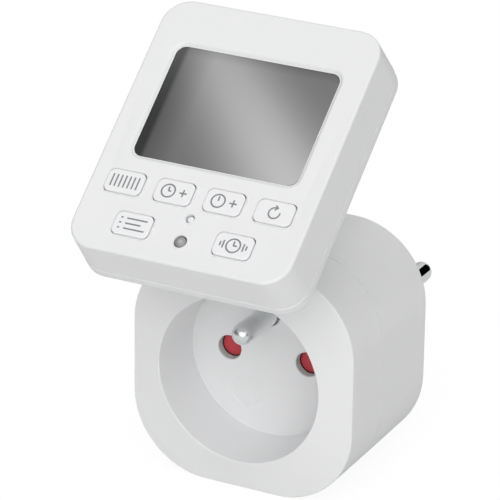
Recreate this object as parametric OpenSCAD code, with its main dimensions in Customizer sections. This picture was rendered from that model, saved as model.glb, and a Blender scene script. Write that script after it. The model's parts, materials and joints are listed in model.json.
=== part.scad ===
// Plug-in timer switch: a socket housing with a plug on its back and a
// display head that tilts on a hinged neck.
// X is to the right, Y back towards the wall and Z up. The origin is on the
// plug's end face, midway between its two pins. Sizes are in millimetres.

/* [Body] */
// Width of the body
body_w = 53; // [52:0.5:57]
// Height of the body
body_h = 52.8; // [51.6:0.2:57]
// Depth of the body without the plug
body_d = 40; // [39:0.5:45]
// Radius of the body's four corners
body_corner = 18; // [15:0.5:20]
// Narrowing of each side from the seam to the back
body_draft = 0.1; // [0:0.1:0.8]
// How far the front face falls back from the recess to its outer edge
face_crown = 2; // [0.5:0.1:2.4]
// Rounding of the front edge
front_edge = 0.5; // [0.4:0.1:1.4]
// Rounding of the back edge
back_edge = 2; // [0.6:0.1:2.4]
// Wall thickness of both housings
wall = 1.8; // [1.4:0.1:2]
// Distance from the front face to the seam between the housings
seam_depth = 16; // [14:0.5:17]

/* [Socket] */
// Radius of the recess at its mouth
recess_r = 19.2; // [18.8:0.05:19.6]
// Radius of the recess at its floor
recess_floor_r = 18.7; // [18.6:0.05:19.2]
// Depth of the recess
recess_depth = 14.5; // [13.5:0.5:16]
// Chamfer round the mouth of the recess
recess_chamfer = 0.3; // [0.2:0.1:0.6]
// Width of the flat land round that chamfer
face_land = 0.5; // [0.3:0.1:0.8]
// Thickness of the recess floor
floor_t = 2; // [1.6:0.1:2.4]
// Distance between the two pins of a plug, and between the socket's holes
pin_pitch = 19; // [18.6:0.1:19.4]
// Radius of the two contact holes
contact_hole_r = 2.85; // [2.6:0.05:3]
// Radius of the socket's earth pin
earth_pin_r = 2.4; // [2.2:0.05:2.5]
// Height of the earth pin above the line of the contact holes
earth_pin_z = 10; // [9.8:0.1:10.4]
// Length of the earth pin in front of the recess floor, with its dome
earth_pin_len = 14.6; // [13:0.2:16]
// Diameter of the faint ring moulded in the recess floor
floor_ring_d = 7; // [5:0.5:9]
// Distance of that ring below the middle of the floor
floor_ring_drop = 9.6; // [6:0.2:10]
// Distance of that ring to the left of the middle
floor_ring_left = 5.2; // [0:0.2:6]

/* [Shutter] */
// Thickness of the shutter
shutter_t = 2.4; // [1.8:0.1:2.6]
// How far a wing reaches past the edge of its hole
shutter_cover = 0.45; // [0.3:0.05:0.6]
// Radius of the shutter's pivot post
post_r = 2; // [1.6:0.1:2.2]
// Wall of the shutter's hub round its post
hub_wall = 1.5; // [1:0.1:1.6]
// Width of the arms that carry the wings
shutter_arm_w = 4; // [3:0.2:4.2]
// Wire diameter of the shutter's torsion spring
spring_wire = 0.4; // [0.3:0.05:0.45]
// Number of turns of that spring
spring_turns = 3; // [2:1:3]

/* [Plug] */
// Radius of the round plug
boss_r = 18.5; // [18.2:0.1:18.8]
// Height of the plug behind the body
boss_h = 16.5; // [16:0.5:18]
// Wall of the plug's tube
boss_wall = 2; // [1.6:0.1:2.2]
// Thickness of the plug's end face
boss_face_t = 2.5; // [2:0.1:3]
// Thickness of the flange that the rear housing clamps
boss_flange_t = 1.8; // [1.4:0.1:2]
// Width of that flange outside the plug's tube
boss_flange_w = 1.6; // [1.2:0.1:1.8]
// Radius of the two plug pins
plug_pin_r = 2.4; // [2.3:0.05:2.5]
// Length of the plug pins outside the plug
plug_pin_len = 19; // [18:0.5:20]
// Radius of the pins' rivet shanks inside
pin_shank_r = 1.5; // [1.2:0.1:1.7]
// Radius of the pins' collars
pin_collar_r = 3.6; // [3.2:0.1:4]
// Thickness of the pins' collars
pin_collar_t = 1.2; // [1:0.1:1.5]
// Width of the guide groove on each side of the plug
guide_w = 5.4; // [4.6:0.2:6]
// Depth of the guide groove
guide_depth = 1.4; // [1:0.1:1.5]
// Width of the side earth clips
clip_w = 6.4; // [5.6:0.2:7]
// Sheet thickness of the earth clips and the earth strap
clip_t = 0.8; // [0.6:0.1:0.9]
// Outward bow of the earth clips
clip_bow = 0.7; // [0.4:0.1:0.9]
// Radius of the earth aperture in the plug's end face
aperture_r = 3.1; // [2.9:0.05:3.3]
// Wall of the brass sleeve behind the aperture
sleeve_wall = 0.5; // [0.4:0.05:0.55]

/* [Contacts] */
// Sheet thickness of the socket contacts
contact_t = 0.6; // [0.5:0.05:0.7]
// Opening between the two leaves of a contact
contact_gap = 4.4; // [4.2:0.1:4.6]
// Width of the leaves
contact_w = 5.6; // [5:0.2:6]
// Wall of the insulating block round the contacts
block_wall = 1.3; // [1:0.1:1.4]
// Radius of the two lugs that hold the block
lug_r = 2.6; // [2.4:0.1:2.8]
// Distance of the lugs from the middle
lug_reach = 12; // [11.6:0.1:12.4]
// Thickness of the lugs
lug_t = 2; // [1.6:0.1:2.4]

/* [Power board] */
// Thickness of the power board
board_t = 1.2; // [1:0.1:1.4]
// Width of the power board
board_w = 38; // [37:0.5:39]
// Lowest edge of the power board below the middle
board_low = 20; // [19:0.5:20.5]
// Highest edge of the power board above the middle
board_high = 12.5; // [12.3:0.1:12.7]
// Corner radius of the power board
board_corner = 10; // [8:0.5:11]
// Width of the relay
relay_w = 19; // [15:0.5:20]
// Height of the relay
relay_h = 13.4; // [10:0.2:13.4]
// Depth of the relay
relay_depth = 11; // [8:0.5:11]
// Length of the film capacitor
film_cap_len = 17; // [12:0.5:18]
// Thickness of the film capacitor
film_cap_t = 4.6; // [3.6:0.2:4.6]
// Depth of the film capacitor
film_cap_depth = 12; // [8:0.5:13]
// Radius of the electrolytic capacitor
elco_r = 3.2; // [2.5:0.1:3.4]
// Length of the electrolytic capacitor
elco_len = 11; // [8:0.5:12]
// Radius of the varistor disc
varistor_r = 3.4; // [3:0.1:3.6]
// Thickness of the varistor disc
varistor_t = 3.4; // [2.5:0.1:3.6]
// Radius of the fuse
fuse_r = 1.3; // [1:0.1:1.5]
// Length of the fuse
fuse_len = 7; // [6:0.5:8]

/* [Head] */
// Width of the head at its face
head_w = 51.2; // [50.6:0.2:56]
// Width of the head at its seam
head_back_w = 52.5; // [51.8:0.1:57]
// Height of the head
head_h = 61.4; // [61:0.2:66]
// Depth of the head from its face to its back
head_d = 13.4; // [13:0.1:15]
// Depth of the head's front shell
head_seam = 10.3; // [10:0.1:11.2]
// Radius of the head's four corners
head_corner = 6.1; // [5:0.1:7]
// Rounding of the face's edge
head_edge = 0.6; // [0.5:0.1:1.4]
// Rounding of the back's edge
head_back_edge = 1.1; // [0.6:0.1:1.4]
// Wall thickness of the head
head_wall = 1.8; // [1.5:0.05:1.85]
// Distance of the display window from the head's sides
window_side = 6.3; // [5.9:0.1:7.5]
// Distance of the window from the head's top
window_top = 10.8; // [10.4:0.1:12]
// Distance of the window from the head's lower end
window_low = 23; // [22.8:0.1:24]
// Corner radius of the window
window_corner = 2.4; // [1.5:0.1:3]
// Depth of the pane below the face
window_inset = 0.6; // [0.3:0.1:0.8]
// Width of the sloping edge round the window
window_bevel = 0.9; // [0.5:0.1:1.1]
// How far the pane's rim reaches behind the face
pane_rim = 1.6; // [1.2:0.1:1.8]
// Thickness of the pane's rim
pane_rim_t = 0.8; // [0.6:0.1:0.9]

/* [Keys] */
// Width of a key
key_w = 8.4; // [7.6:0.1:8.6]
// Height of a key
key_h = 5.2; // [4.8:0.1:5.4]
// Corner radius of a key
key_corner = 1.2; // [0.8:0.1:1.6]
// Distance of the outer keys' middles from the head's sides
key_side = 8.3; // [8:0.1:8.7]
// Height of the upper row above the head's lower end
key_row_1 = 16.3; // [15.8:0.1:16.4]
// Height of the lower row above the head's lower end
key_row_2 = 7.1; // [6.8:0.1:7.4]
// Distance of the lower keys' middles from the head's sides
key_side_2 = 14; // [13.7:0.1:14.7]
// Travel of a key
key_travel = 0.5; // [0.3:0.05:0.6]
// Gap round a key
key_gap = 0.25; // [0.2:0.01:0.3]
// Height of the keys above the face
key_proud = 0.15; // [0:0.05:0.3]
// Rounding of a key's top edge
key_edge = 0.3; // [0.15:0.05:0.4]
// How far a key's flange reaches past its hole
key_flange = 0.45; // [0.35:0.05:0.5]
// Thickness of a key's flange
key_flange_t = 0.7; // [0.5:0.05:0.8]
// Radius of the reset button
reset_r = 0.75; // [0.6:0.05:0.9]
// Height of the reset button above the head's lower end
reset_rise = 11.2; // [10.8:0.1:11.6]
// Depth of the reset button below the face
reset_inset = 0.3; // [0.1:0.05:0.5]
// Radius of the indicator lamp
led_r = 1.3; // [1.1:0.05:1.6]
// Height of the indicator lamp above the head's lower end
led_rise = 5.7; // [5.4:0.1:6.2]

/* [Hinge] */
// Tilt of the head back from the vertical
head_tilt = 50; // [38:1:90]
// Height of the hinge above the body
hinge_rise = 18.4; // [18:0.2:24]
// Distance of the hinge behind the body's front face
hinge_back = 6.8; // [6:0.1:13]
// Distance of the hinge behind the head's back
hinge_standoff = 5.4; // [5.2:0.1:7]
// Height of the hinge above the middle of the head
hinge_up = 2; // [0:0.5:4]
// Outer radius of the hinge knuckles
knuckle_r = 4.8; // [4.6:0.1:5]
// Width of the neck
neck_w = 16; // [14:0.5:18]
// Length of the neck's foot along the body
neck_foot = 22; // [20:0.5:23]
// Distance of the neck's foot behind the body's front face
neck_setback = 4.6; // [4.4:0.1:7]
// Width of one hinge ear
ear_w = 5.5; // [5:0.1:6.5]
// Outer radius of the hollow hinge pin
hinge_pin_r = 3; // [2.8:0.05:3.1]
// Wall of the hollow hinge pin
hinge_pin_wall = 0.7; // [0.5:0.05:0.75]
// Thickness of a friction washer
washer_t = 0.8; // [0.5:0.1:1]
// Radius of the signal cable
cable_r = 1.1; // [0.8:0.1:1.2]

/* [Screws] */
// Distance of the housing screws from the middle, each way
screw_at = 16.5; // [16.2:0.1:16.8]
// Radius of the housing screws
screw_r = 1.3; // [1.1:0.1:1.4]
// Radius of the housing screws' heads
screw_head_r = 2.4; // [2.1:0.1:2.5]
// Thickness of the housing screws' heads
screw_head_t = 1.8; // [1.4:0.1:2]
// Length of the housing screws' shanks
screw_len = 16; // [14:1:18]
// Depth of the screw wells in the back
well_depth = 12; // [10:0.5:13]
// Wall of the screw pillars
pillar_wall = 1; // [0.8:0.1:1.1]
// Radius of the head's screws
head_screw_r = 1; // [0.8:0.1:1.1]
// Radius of the heads of the head's screws
head_screw_head_r = 1.9; // [1.6:0.1:2]
// Length of the head's screws
head_screw_len = 8; // [6:0.5:8.5]
// Distance of the head's screws from its side walls
head_screw_in = 4.6; // [4.4:0.1:5]

/* [Fits] */
// Gap between a part and the part that it is set in
fit = 0.15; // [0.1:0.05:0.2]
// Radial gap of a shaft that turns in its bore
running_fit = 0.05; // [0.02:0.01:0.08]
// Gap left between neighbours that don't touch
clear_gap = 0.3; // [0.25:0.05:0.35]

/* [Hidden] */
$fn = 72;
hull_fn = 32;

white = "#ECEDEF";
metal = "#C9CBCE";
brass = "#C9A75A";
board_green = "#2F6B45";
black = "#222426";

// Places along Y
rear_y = -boss_h;
front_y = rear_y - body_d;
face_y = front_y + face_crown;
seam_y = front_y + seam_depth;
floor_y = front_y + recess_depth;
floor_back = floor_y + floor_t;
rear_inner = rear_y - wall;
board_back = rear_inner - boss_flange_t;
board_front = board_back - board_t;
seat_gap = 0.1;
seam_edge = 0.1;

// Body
top_z = body_h / 2;
inner_w = body_w - 2 * wall - 2 * body_draft;
inner_h = body_h - 2 * wall - 2 * body_draft;
inner_corner = body_corner - wall - body_draft;
cup_r = recess_r + wall;
land_r = recess_r + recess_chamfer + face_land;
post_ease = 0.4;
groove_w = 0.4;
groove_depth = 0.15;
hole_x = pin_pitch / 2;

// Shutter, spring and contact block
shutter_y = floor_back + clear_gap;
shutter_back = shutter_y + shutter_t;
block_y = shutter_back + clear_gap;
wing_r = contact_hole_r + shutter_cover;
spring_y = shutter_back + clear_gap;
spring_pitch = spring_wire + 0.1;
spring_r = post_r + hub_wall - spring_wire;
spring_leg = 3;
post_end = spring_y + (spring_turns + 1) * spring_pitch + spring_wire;
shutter_open = 40;
contact_tail = 3.2;
block_back = board_front - contact_tail;
block_h = contact_gap + 2 * contact_t + 2 * block_wall + 2 * fit;
contact_back_x = hole_x + contact_w / 2;
block_half = contact_back_x + contact_t + fit + block_wall;
centre_bay = hole_x - contact_w / 2 - fit - block_wall;
lug_angle = 135;
lugs = [for (a = [lug_angle, lug_angle + 180]) lug_reach * [cos(a), sin(a)]];
lug_screw_r = 0.9;
lug_screw_head_r = 1.7;
lug_screw_head_t = 1.2;
lug_screw_bite = 3.6;

// Earth path and plug
guide_stop = 0.5;
seat_step = 0.3;
pin_seat_r = earth_pin_r + seat_step;
plug_seat_r = plug_pin_r + seat_step;
shoulder_r = earth_pin_r + 1;
shoulder_t = 1.2;
tail_r = 1.5;
nut_t = 2;
strap_w = 6;
strap_y = floor_back + shoulder_t;
nut_y = strap_y + clip_t;
tail_end = nut_y + nut_t + 1;
strap_z = board_high + clear_gap + 0.4;
sleeve_len = boss_h - boss_face_t - 1.2;
sleeve_back = -boss_face_t - sleeve_len;
aperture_wall = 1.2;
clip_slot = 2.2;
clip_z = boss_r - clip_slot;
clip_stop = 3.5;
clip_len = boss_h - clip_stop;
clip_foot = clip_z - 1.8;
clip_lap = 0.05;

// Power board
solder_stub = 0.6;
pillar_r = screw_head_r + fit + pillar_wall;
pillar_seat = seam_y;
well_y = rear_y - well_depth;
board_screw_x = 14;
board_screw_z = 9.5;
board_screw_r = 0.8;
board_screw_head_r = 1.5;
board_screw_head_t = 1;
part_gap = 0.8;
relay_gap = 2;
relay_z = -block_h / 2 - relay_gap - relay_h / 2;
film_cap_x = block_half + part_gap + film_cap_t / 2;
film_cap_z = -1.5;
elco_at = [-block_half - part_gap - elco_r, -4.2];
varistor_at = [
    -relay_w / 2 - part_gap - varistor_r,
    elco_at[1] - elco_r - part_gap - varistor_t / 2
];
fuse_at = [9, 9.4];
header_size = [8, 3.4, 5];
header_at = [-8.2, 9];

// Head: its own frame has X to the right, Y up the face and Z out of the face
hinge_n = head_d + hinge_standoff;
pivot = [0, front_y + hinge_back, top_z + hinge_rise];
head_up = [0, sin(head_tilt), cos(head_tilt)];
head_out = [0, -cos(head_tilt), sin(head_tilt)];
head_origin = pivot - hinge_up * head_up + hinge_n * head_out;
head_inner_w = head_w - 2 * head_wall;
head_inner_h = head_h - 2 * head_wall;
head_inner_corner = head_corner - head_wall;
back_inner = -head_d + head_wall;
window_w = head_w - 2 * window_side;
window_h = head_h - window_top - window_low;
window_up = (window_low - window_top) / 2;
pane_w = window_w - 2 * fit;
pane_h = window_h - 2 * fit;
pane_back = -head_wall - pane_rim_t;
frame_lip = 0.5;
frame_w = window_w + 2 * pane_rim + 2 * frame_lip;
frame_h = window_h + 2 * pane_rim;
control_front = -7;
control_t = 1.2;
control_back = control_front - control_t;
frame_t = -pane_back + control_front;
lcd_t = 2.6;
lcd_front = pane_back - seat_gap;
lcd_w = frame_w - 2.4;
lcd_h = frame_h - 2.4;
reflector_t = 0.3;
zebra_w = 1.6;
head_boss_r = 2.3;
head_screw_x = head_w / 2 - head_screw_in;
head_screw_y = head_h / 2 - head_screw_in;
head_screw_head_t = 1.2;

// Parts on the control board
chip_w = 9;
chip_t = 1.2;
chip_in = 10.4;
chip_at = [chip_w / 2 + chip_in - head_inner_w / 2, 9];
battery_r = 6;
battery_t = 3;
battery_in = 6.9;
battery_at = [battery_r + battery_in - head_inner_w / 2, -15];
crystal_at = [3, 14];
crystal_r = 1;
crystal_len = 6;

// Keys: the place of each on the face
key_top = key_row_1 - head_h / 2;
key_low = key_row_2 - head_h / 2;
key_pitch = (head_w / 2 - key_side) / 1.5;
key_low_x = head_w / 2 - key_side_2;
reset_drop = head_h / 2 - reset_rise;
led_drop = head_h / 2 - led_rise;
mat_t = 0.8;
mat_inset = 2.9;
mat_half = head_inner_w / 2 - mat_inset;
mat_edge = 0.6;
dome_r = 2;
reset_dome_r = 1;
stem_r = 1.4;
stem_end = -3.6;
dome_gap = 0.05;
dome_top = stem_end - key_travel - dome_gap;
lamp_flange = 0.3;
lamp_flange_t = 1;

// Hinge
ear_in = neck_w / 2 + washer_t + 2 * seat_gap;
ear_out = ear_in + ear_w;
pin_half = ear_out - 0.2;
foot_front = front_y + neck_setback;
foot_back = foot_front + neck_foot;
foot_flange_t = 1.4;
foot_flange_w = 2;
foot_flange_top = top_z - wall - body_draft - seat_gap;
channel_r = cable_r + 1.2;
channel_back = 5;
channel_drop = 4.6;
channel_foot = [0, floor_back + channel_back, foot_flange_top - channel_drop];
cable_side = neck_w / 2 + 3;
channel = channel_foot - pivot;
cable_end = pivot + (cable_r + clear_gap) * channel / norm(channel);
cable_bend = 3;
cable_hole_r = cable_r + 0.3;
slot_half = neck_w / 2 - 3;
slot_turn = 43;
slot_edge = 0.3;
cap_r = hinge_pin_r + 0.9;
cap_t = 0.8;
cap_plug = 1.4;
ear_spread = 2.4;
head_header_at = [cable_side + cable_bend, -8];
head_header_size = [8, 3.4, 2.4];

// ---------------------------------------------------------------- shapes

// Outline with four round corners
module outline(w, h, r) {
    square([w - 2 * r, h], center = true);
    square([w, h - 2 * r], center = true);
    for (x = [-1, 1], y = [-1, 1])
        translate([x * (w / 2 - r), y * (h / 2 - r)]) circle(r);
}

// A drawing in X and Z, made solid from y0 back to y1
module slab_y(y0, y1) {
    translate([0, y1, 0]) rotate([90, 0, 0]) linear_extrude(y1 - y0) children();
}

// A drawing in Y and Z, made solid from x0 to x1
module slab_x(x0, x1) {
    translate([x0, 0, 0]) rotate([90, 0, 90]) linear_extrude(x1 - x0) children();
}

// Round rod along Y
module rod_y(x, z, y0, y1, r) {
    translate([x, y1, z]) rotate([90, 0, 0]) cylinder(r = r, h = y1 - y0);
}

// Round rod along X at the hinge
module rod_hinge(x0, x1, r) {
    translate([x0, pivot[1], pivot[2]]) rotate([0, 90, 0]) cylinder(r = r, h = x1 - x0);
}

// Box from its lowest to its highest corner
module box(low, high) {
    translate(low) cube(high - low);
}

// Four corner buttons whose lower edge is rounded by e
module rim(w, h, r, e) {
    steps = [0, 22.5, 45, 67.5, 90];
    profile = [for (a = steps) [r - e + e * sin(a), e - e * cos(a)]];
    for (x = [-1, 1], y = [-1, 1])
        translate([x * (w / 2 - r), y * (h / 2 - r), 0])
            rotate_extrude($fn = hull_fn)
                polygon(concat([[0, 0]], profile, [[0, e]]));
}

// Block between two rounded rims, standing on the first
module soft_block(w0, h0, e0, w1, h1, e1, r, len) {
    hull() {
        rim(w0, h0, r, e0);
        translate([0, 0, len]) mirror([0, 0, 1]) rim(w1, h1, r, e1);
    }
}

// Wire through a list of points, round at each bend
module wire(points, r) {
    for (i = [0 : len(points) - 2]) {
        step = points[i + 1] - points[i];
        reach = norm(step);
        translate(points[i])
            rotate([0, acos(step[2] / reach), atan2(step[1], step[0])])
                cylinder(r = r, h = reach, $fn = 24);
    }
    for (i = [1 : len(points) - 2]) translate(points[i]) sphere(1.04 * r, $fn = 24);
}

// Point where a line from p touches a circle, on the left or right of it
function touch_point(p, centre, r, side) =
    let (d = centre - p, reach = norm(d), a = atan2(d[1], d[0]) + side * asin(r / reach))
    p + sqrt(reach * reach - r * r) * [cos(a), sin(a)];

// Everything inside is drawn in the head's own frame
module in_head() {
    translate(head_origin) rotate([90 - head_tilt, 0, 0]) children();
}

// A drawing on the face, made solid between two depths
module slab_n(n0, n1) {
    translate([0, 0, n0]) linear_extrude(n1 - n0) children();
}

// ------------------------------------------------------------------ body

module screw_places() {
    for (x = [-1, 1], z = [-1, 1]) translate([x * screw_at, 0, z * screw_at]) children();
}

// Opening for the neck's foot through the top of both housings
module neck_opening() {
    box([-neck_w / 2 - fit, foot_front - fit, top_z - 2 * wall],
        [neck_w / 2 + fit, foot_back + fit, top_z + 1]);
}

// The crowned front: a soft block whose face rises to the land round the recess
module front_form() {
    translate([0, front_y, 0]) rotate([-90, 0, 0]) hull() {
        cylinder(r = land_r, h = face_crown, $fn = 2 * hull_fn);
        translate([0, 0, face_crown]) rim(body_w, body_h, body_corner, front_edge);
        translate([0, 0, seam_depth]) mirror([0, 0, 1])
            rim(body_w, body_h, body_corner, seam_edge);
    }
}

module front_cavity() {
    slab_y(face_y + wall, seam_y + 1)
        outline(body_w - 2 * wall, body_h - 2 * wall, body_corner - wall);
}

module front_housing() color(white) difference() {
    union() {
        difference() {
            front_form();
            front_cavity();
        }
        rod_y(0, 0, front_y + wall / 2, floor_back, cup_r);
        rod_y(0, 0, floor_y + floor_t / 2, post_end, post_r);
        for (p = lugs) rod_y(p[0], p[1], floor_y + floor_t / 2, block_y, lug_r - post_ease);
        intersection() {
            screw_places() rod_y(0, 0, face_y + wall / 2, pillar_seat, pillar_r - post_ease);
            slab_y(face_y, pillar_seat) outline(body_w - wall, body_h - wall, body_corner);
        }
    }
    rod_y(0, 0, floor_y - 1, floor_y, recess_floor_r);
    translate([0, floor_y, 0]) rotate([90, 0, 0])
        cylinder(r1 = recess_floor_r, r2 = recess_r, h = recess_depth);
    translate([0, front_y + recess_chamfer, 0]) rotate([90, 0, 0])
        cylinder(r1 = recess_r, r2 = recess_r + 2 * recess_chamfer, h = 2 * recess_chamfer);
    for (x = [-hole_x, hole_x]) rod_y(x, 0, floor_y - 1, floor_back + 1, contact_hole_r);
    rod_y(0, earth_pin_z, floor_y - 1, floor_back + 1, pin_seat_r + running_fit);
    for (p = lugs)
        rod_y(p[0], p[1], floor_y + floor_t / 2, block_y + 1, lug_screw_r + running_fit);
    screw_places()
        rod_y(0, 0, well_y - screw_len - 1, pillar_seat + 1, screw_r + running_fit);
    difference() {
        rod_y(-floor_ring_left, -floor_ring_drop, floor_y - 1, floor_y + groove_depth,
            floor_ring_d / 2);
        rod_y(-floor_ring_left, -floor_ring_drop, floor_y - 2, floor_y + 1,
            floor_ring_d / 2 - groove_w);
    }
    neck_opening();
}

module rear_housing() color(white) difference() {
    union() {
        difference() {
            translate([0, seam_y, 0]) rotate([-90, 0, 0])
                soft_block(body_w, body_h, seam_edge, body_w - 2 * body_draft,
                    body_h - 2 * body_draft, back_edge, body_corner, body_d - seam_depth);
            slab_y(seam_y - 1, rear_inner) outline(inner_w, inner_h, inner_corner);
        }
        screw_places() rod_y(0, 0, pillar_seat, rear_y - wall / 2, pillar_r);
    }
    rod_y(0, 0, rear_inner - 1, rear_y + 1, boss_r + fit);
    screw_places() rod_y(0, 0, well_y, rear_y + 1, screw_head_r + fit);
    screw_places() rod_y(0, 0, pillar_seat - 1, well_y + 1, screw_r + fit);
    rod_y(0, 0, seam_y - 1, floor_back + clear_gap, cup_r + clear_gap);
    rod_y(0, 0, board_back - fit, rear_inner, boss_r + boss_flange_w + fit);
    neck_opening();
}

module plug_boss() color(white) difference() {
    union() {
        rod_y(0, 0, board_back, 0, boss_r);
        rod_y(0, 0, board_back, rear_inner, boss_r + boss_flange_w);
    }
    difference() {
        rod_y(0, 0, board_back - 1, -boss_face_t, boss_r - boss_wall);
        rod_y(0, earth_pin_z, sleeve_back, 0, aperture_r + aperture_wall);
    }
    for (x = [-hole_x, hole_x])
        rod_y(x, 0, -boss_face_t - 1, 1, plug_seat_r + running_fit);
    rod_y(0, earth_pin_z, sleeve_back - 1, 1, aperture_r);
    for (side = [-1, 1]) {
        box([side * boss_r - guide_depth, rear_y + guide_stop, -guide_w / 2],
            [side * boss_r + guide_depth, 1, guide_w / 2]);
        clip_pocket(side);
    }
}

// Pocket in the side of the plug for an earth clip
module clip_pocket(side) {
    scale([1, 1, side])
        box([-clip_w / 2 - fit, -clip_len, clip_z], [clip_w / 2 + fit, 1, boss_r + 1]);
    scale([1, 1, side])
        box([-clip_w / 2 - fit, -clip_len - 0.01, clip_z - 2 * boss_wall],
            [clip_w / 2 + fit, -clip_len + clip_t + fit, boss_r - boss_wall / 2]);
}

module earth_clip(side) {
    foot = clip_foot;
    lift = clip_z + seat_gap;
    color(metal) scale([1, 1, side]) slab_x(-clip_w / 2, clip_w / 2)
        polygon([
            [-clip_len + clip_lap, foot], [-clip_len + clip_t, foot],
            [-clip_len + clip_t, lift], [-clip_len / 2, lift + clip_bow],
            [-clip_t, lift], [-clip_t, lift + clip_t],
            [-clip_len / 2, lift + clip_bow + clip_t],
            [-clip_len + clip_lap, lift + clip_t]
        ]);
}

module earth_clip_top() { earth_clip(1); }
module earth_clip_bottom() { earth_clip(-1); }

module plug_pin(x) color(metal) {
    rod_y(x, 0, -boss_face_t, 0, plug_seat_r);
    rod_y(x, 0, 0, plug_pin_len - plug_pin_r, plug_pin_r);
    translate([x, plug_pin_len - plug_pin_r, 0]) sphere(plug_pin_r);
    rod_y(x, 0, -boss_face_t - pin_collar_t, -boss_face_t, pin_collar_r);
    rod_y(x, 0, board_front - solder_stub, -boss_face_t - pin_collar_t, pin_shank_r);
}

module plug_pin_left() { plug_pin(-hole_x); }
module plug_pin_right() { plug_pin(hole_x); }

module earth_pin() color(metal) {
    rod_y(0, earth_pin_z, floor_y - earth_pin_len + earth_pin_r, floor_y, earth_pin_r);
    rod_y(0, earth_pin_z, floor_y, floor_back, pin_seat_r);
    translate([0, floor_y - earth_pin_len + earth_pin_r, earth_pin_z]) sphere(earth_pin_r);
    rod_y(0, earth_pin_z, floor_back, strap_y, shoulder_r);
    rod_y(0, earth_pin_z, strap_y, tail_end, tail_r);
}

module earth_nut() color(metal) difference() {
    translate([0, nut_y + nut_t, earth_pin_z]) rotate([90, 0, 0])
        cylinder(r = strap_w / 2, h = nut_t, $fn = 6);
    rod_y(0, earth_pin_z, nut_y - 1, nut_y + nut_t + 1, tail_r + running_fit);
}

module earth_sleeve() color(brass) difference() {
    rod_y(0, earth_pin_z, sleeve_back, -boss_face_t, aperture_r - running_fit);
    rod_y(0, earth_pin_z, sleeve_back - 1, 0, aperture_r - running_fit - sleeve_wall);
}

// Strip that joins the earth pin, the sleeve and both clips
module earth_strap() color(brass) {
    half = strap_w / 2;
    back = sleeve_back - seat_gap;
    difference() {
        union() {
            box([-half, strap_y, earth_pin_z - half],
                [half, strap_y + clip_t, strap_z + clip_t]);
            box([-half, strap_y, strap_z], [half, back, strap_z + clip_t]);
            box([-half, back - clip_t, -clip_foot - clip_t],
                [half, back, strap_z + clip_t]);
            box([-half, back - clip_t, clip_foot - 2], [half, back, clip_foot + clip_t]);
        }
        rod_y(0, earth_pin_z, strap_y - 1, strap_y + clip_t + 1, tail_r + running_fit);
    }
    for (side = [-1, 1]) scale([1, 1, side])
        box([-half, back - clip_t, clip_foot - seat_gap],
            [half, -clip_len + clip_lap, clip_foot + clip_t]);
}

// ------------------------------------------------- shutter and contacts

module shutter() color("#B8323C") difference() {
    slab_y(shutter_y, shutter_back) {
        circle(post_r + hub_wall);
        for (side = [-1, 1]) {
            translate([side * hole_x, 0]) circle(wing_r);
            translate([side * hole_x / 2, 0]) square([hole_x, shutter_arm_w], center = true);
        }
    }
    rod_y(0, 0, shutter_y - 1, shutter_back + 1, post_r + running_fit);
}

// A ring of the spring's wire at angle a, moved along the wire by reach
function wire_ring(a, reach, sides) = [
    for (i = [0 : sides - 1])
        let (b = 360 * i / sides, r = spring_r + spring_wire / 2 * cos(b))
        [
            r * cos(a) - reach * sin(a),
            spring_y + spring_wire / 2 * (1 + sin(b)) + spring_pitch * a / 360,
            r * sin(a) + reach * cos(a)
        ]
];

// Torsion spring: a helix of round wire whose ends run on as straight legs
module shutter_spring() color(metal) {
    sides = 8;
    per_turn = 20;
    rings = concat(
        [wire_ring(0, -spring_leg, sides)],
        [for (i = [0 : spring_turns * per_turn]) wire_ring(360 * i / per_turn, 0, sides)],
        [wire_ring(360 * spring_turns, spring_leg, sides)]
    );
    count = len(rings);
    polyhedron(
        points = [for (ring = rings) each ring],
        faces = concat(
            [[for (i = [0 : sides - 1]) sides - 1 - i]],
            [for (k = [0 : count - 2], i = [0 : sides - 1])
                let (j = (i + 1) % sides)
                [k * sides + i, k * sides + j, (k + 1) * sides + j, (k + 1) * sides + i]],
            [[for (i = [0 : sides - 1]) (count - 1) * sides + i]]
        )
    );
}

module contact(side) {
    inner = contact_gap / 2;
    outer = inner + contact_t;
    color(brass) scale([side, 1, 1]) {
        slab_y(block_y + 1, block_back) difference() {
            translate([hole_x - contact_w / 2, -outer])
                square([contact_w + contact_t, 2 * outer]);
            translate([hole_x - contact_w / 2 - 1, -inner])
                square([contact_w + 1, 2 * inner]);
        }
        box([contact_back_x, block_back - 1, -inner],
            [contact_back_x + contact_t, board_front, inner]);
    }
}

module contact_left() { contact(-1); }
module contact_right() { contact(1); }

// Insulating block with a pocket for each contact and two lugs
module contact_block() color("#D8D6CE") difference() {
    union() {
        box([-block_half, block_y, -block_h / 2], [block_half, block_back, block_h / 2]);
        slab_y(block_y, block_y + lug_t) for (p = lugs) {
            translate(p) circle(lug_r);
            translate(p / 2) rotate(lug_angle) square([lug_reach, 2 * lug_r], center = true);
        }
    }
    for (side = [-1, 1]) scale([side, 1, 1]) {
        box([centre_bay + block_wall, block_y + 1 - fit, -block_h / 2 + block_wall],
            [block_half - block_wall, block_back + 1, block_h / 2 - block_wall]);
        rod_y(hole_x, 0, block_y - 1, block_y + 2, contact_hole_r);
    }
    box([-centre_bay, block_y - 1, -spring_leg - 0.6],
        [centre_bay, post_end + clear_gap, spring_leg + 0.6]);
    for (p = lugs) rod_y(p[0], p[1], block_y - 1, block_y + lug_t + 1, lug_screw_r + fit);
}

// ------------------------------------------------------------ power board

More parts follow.
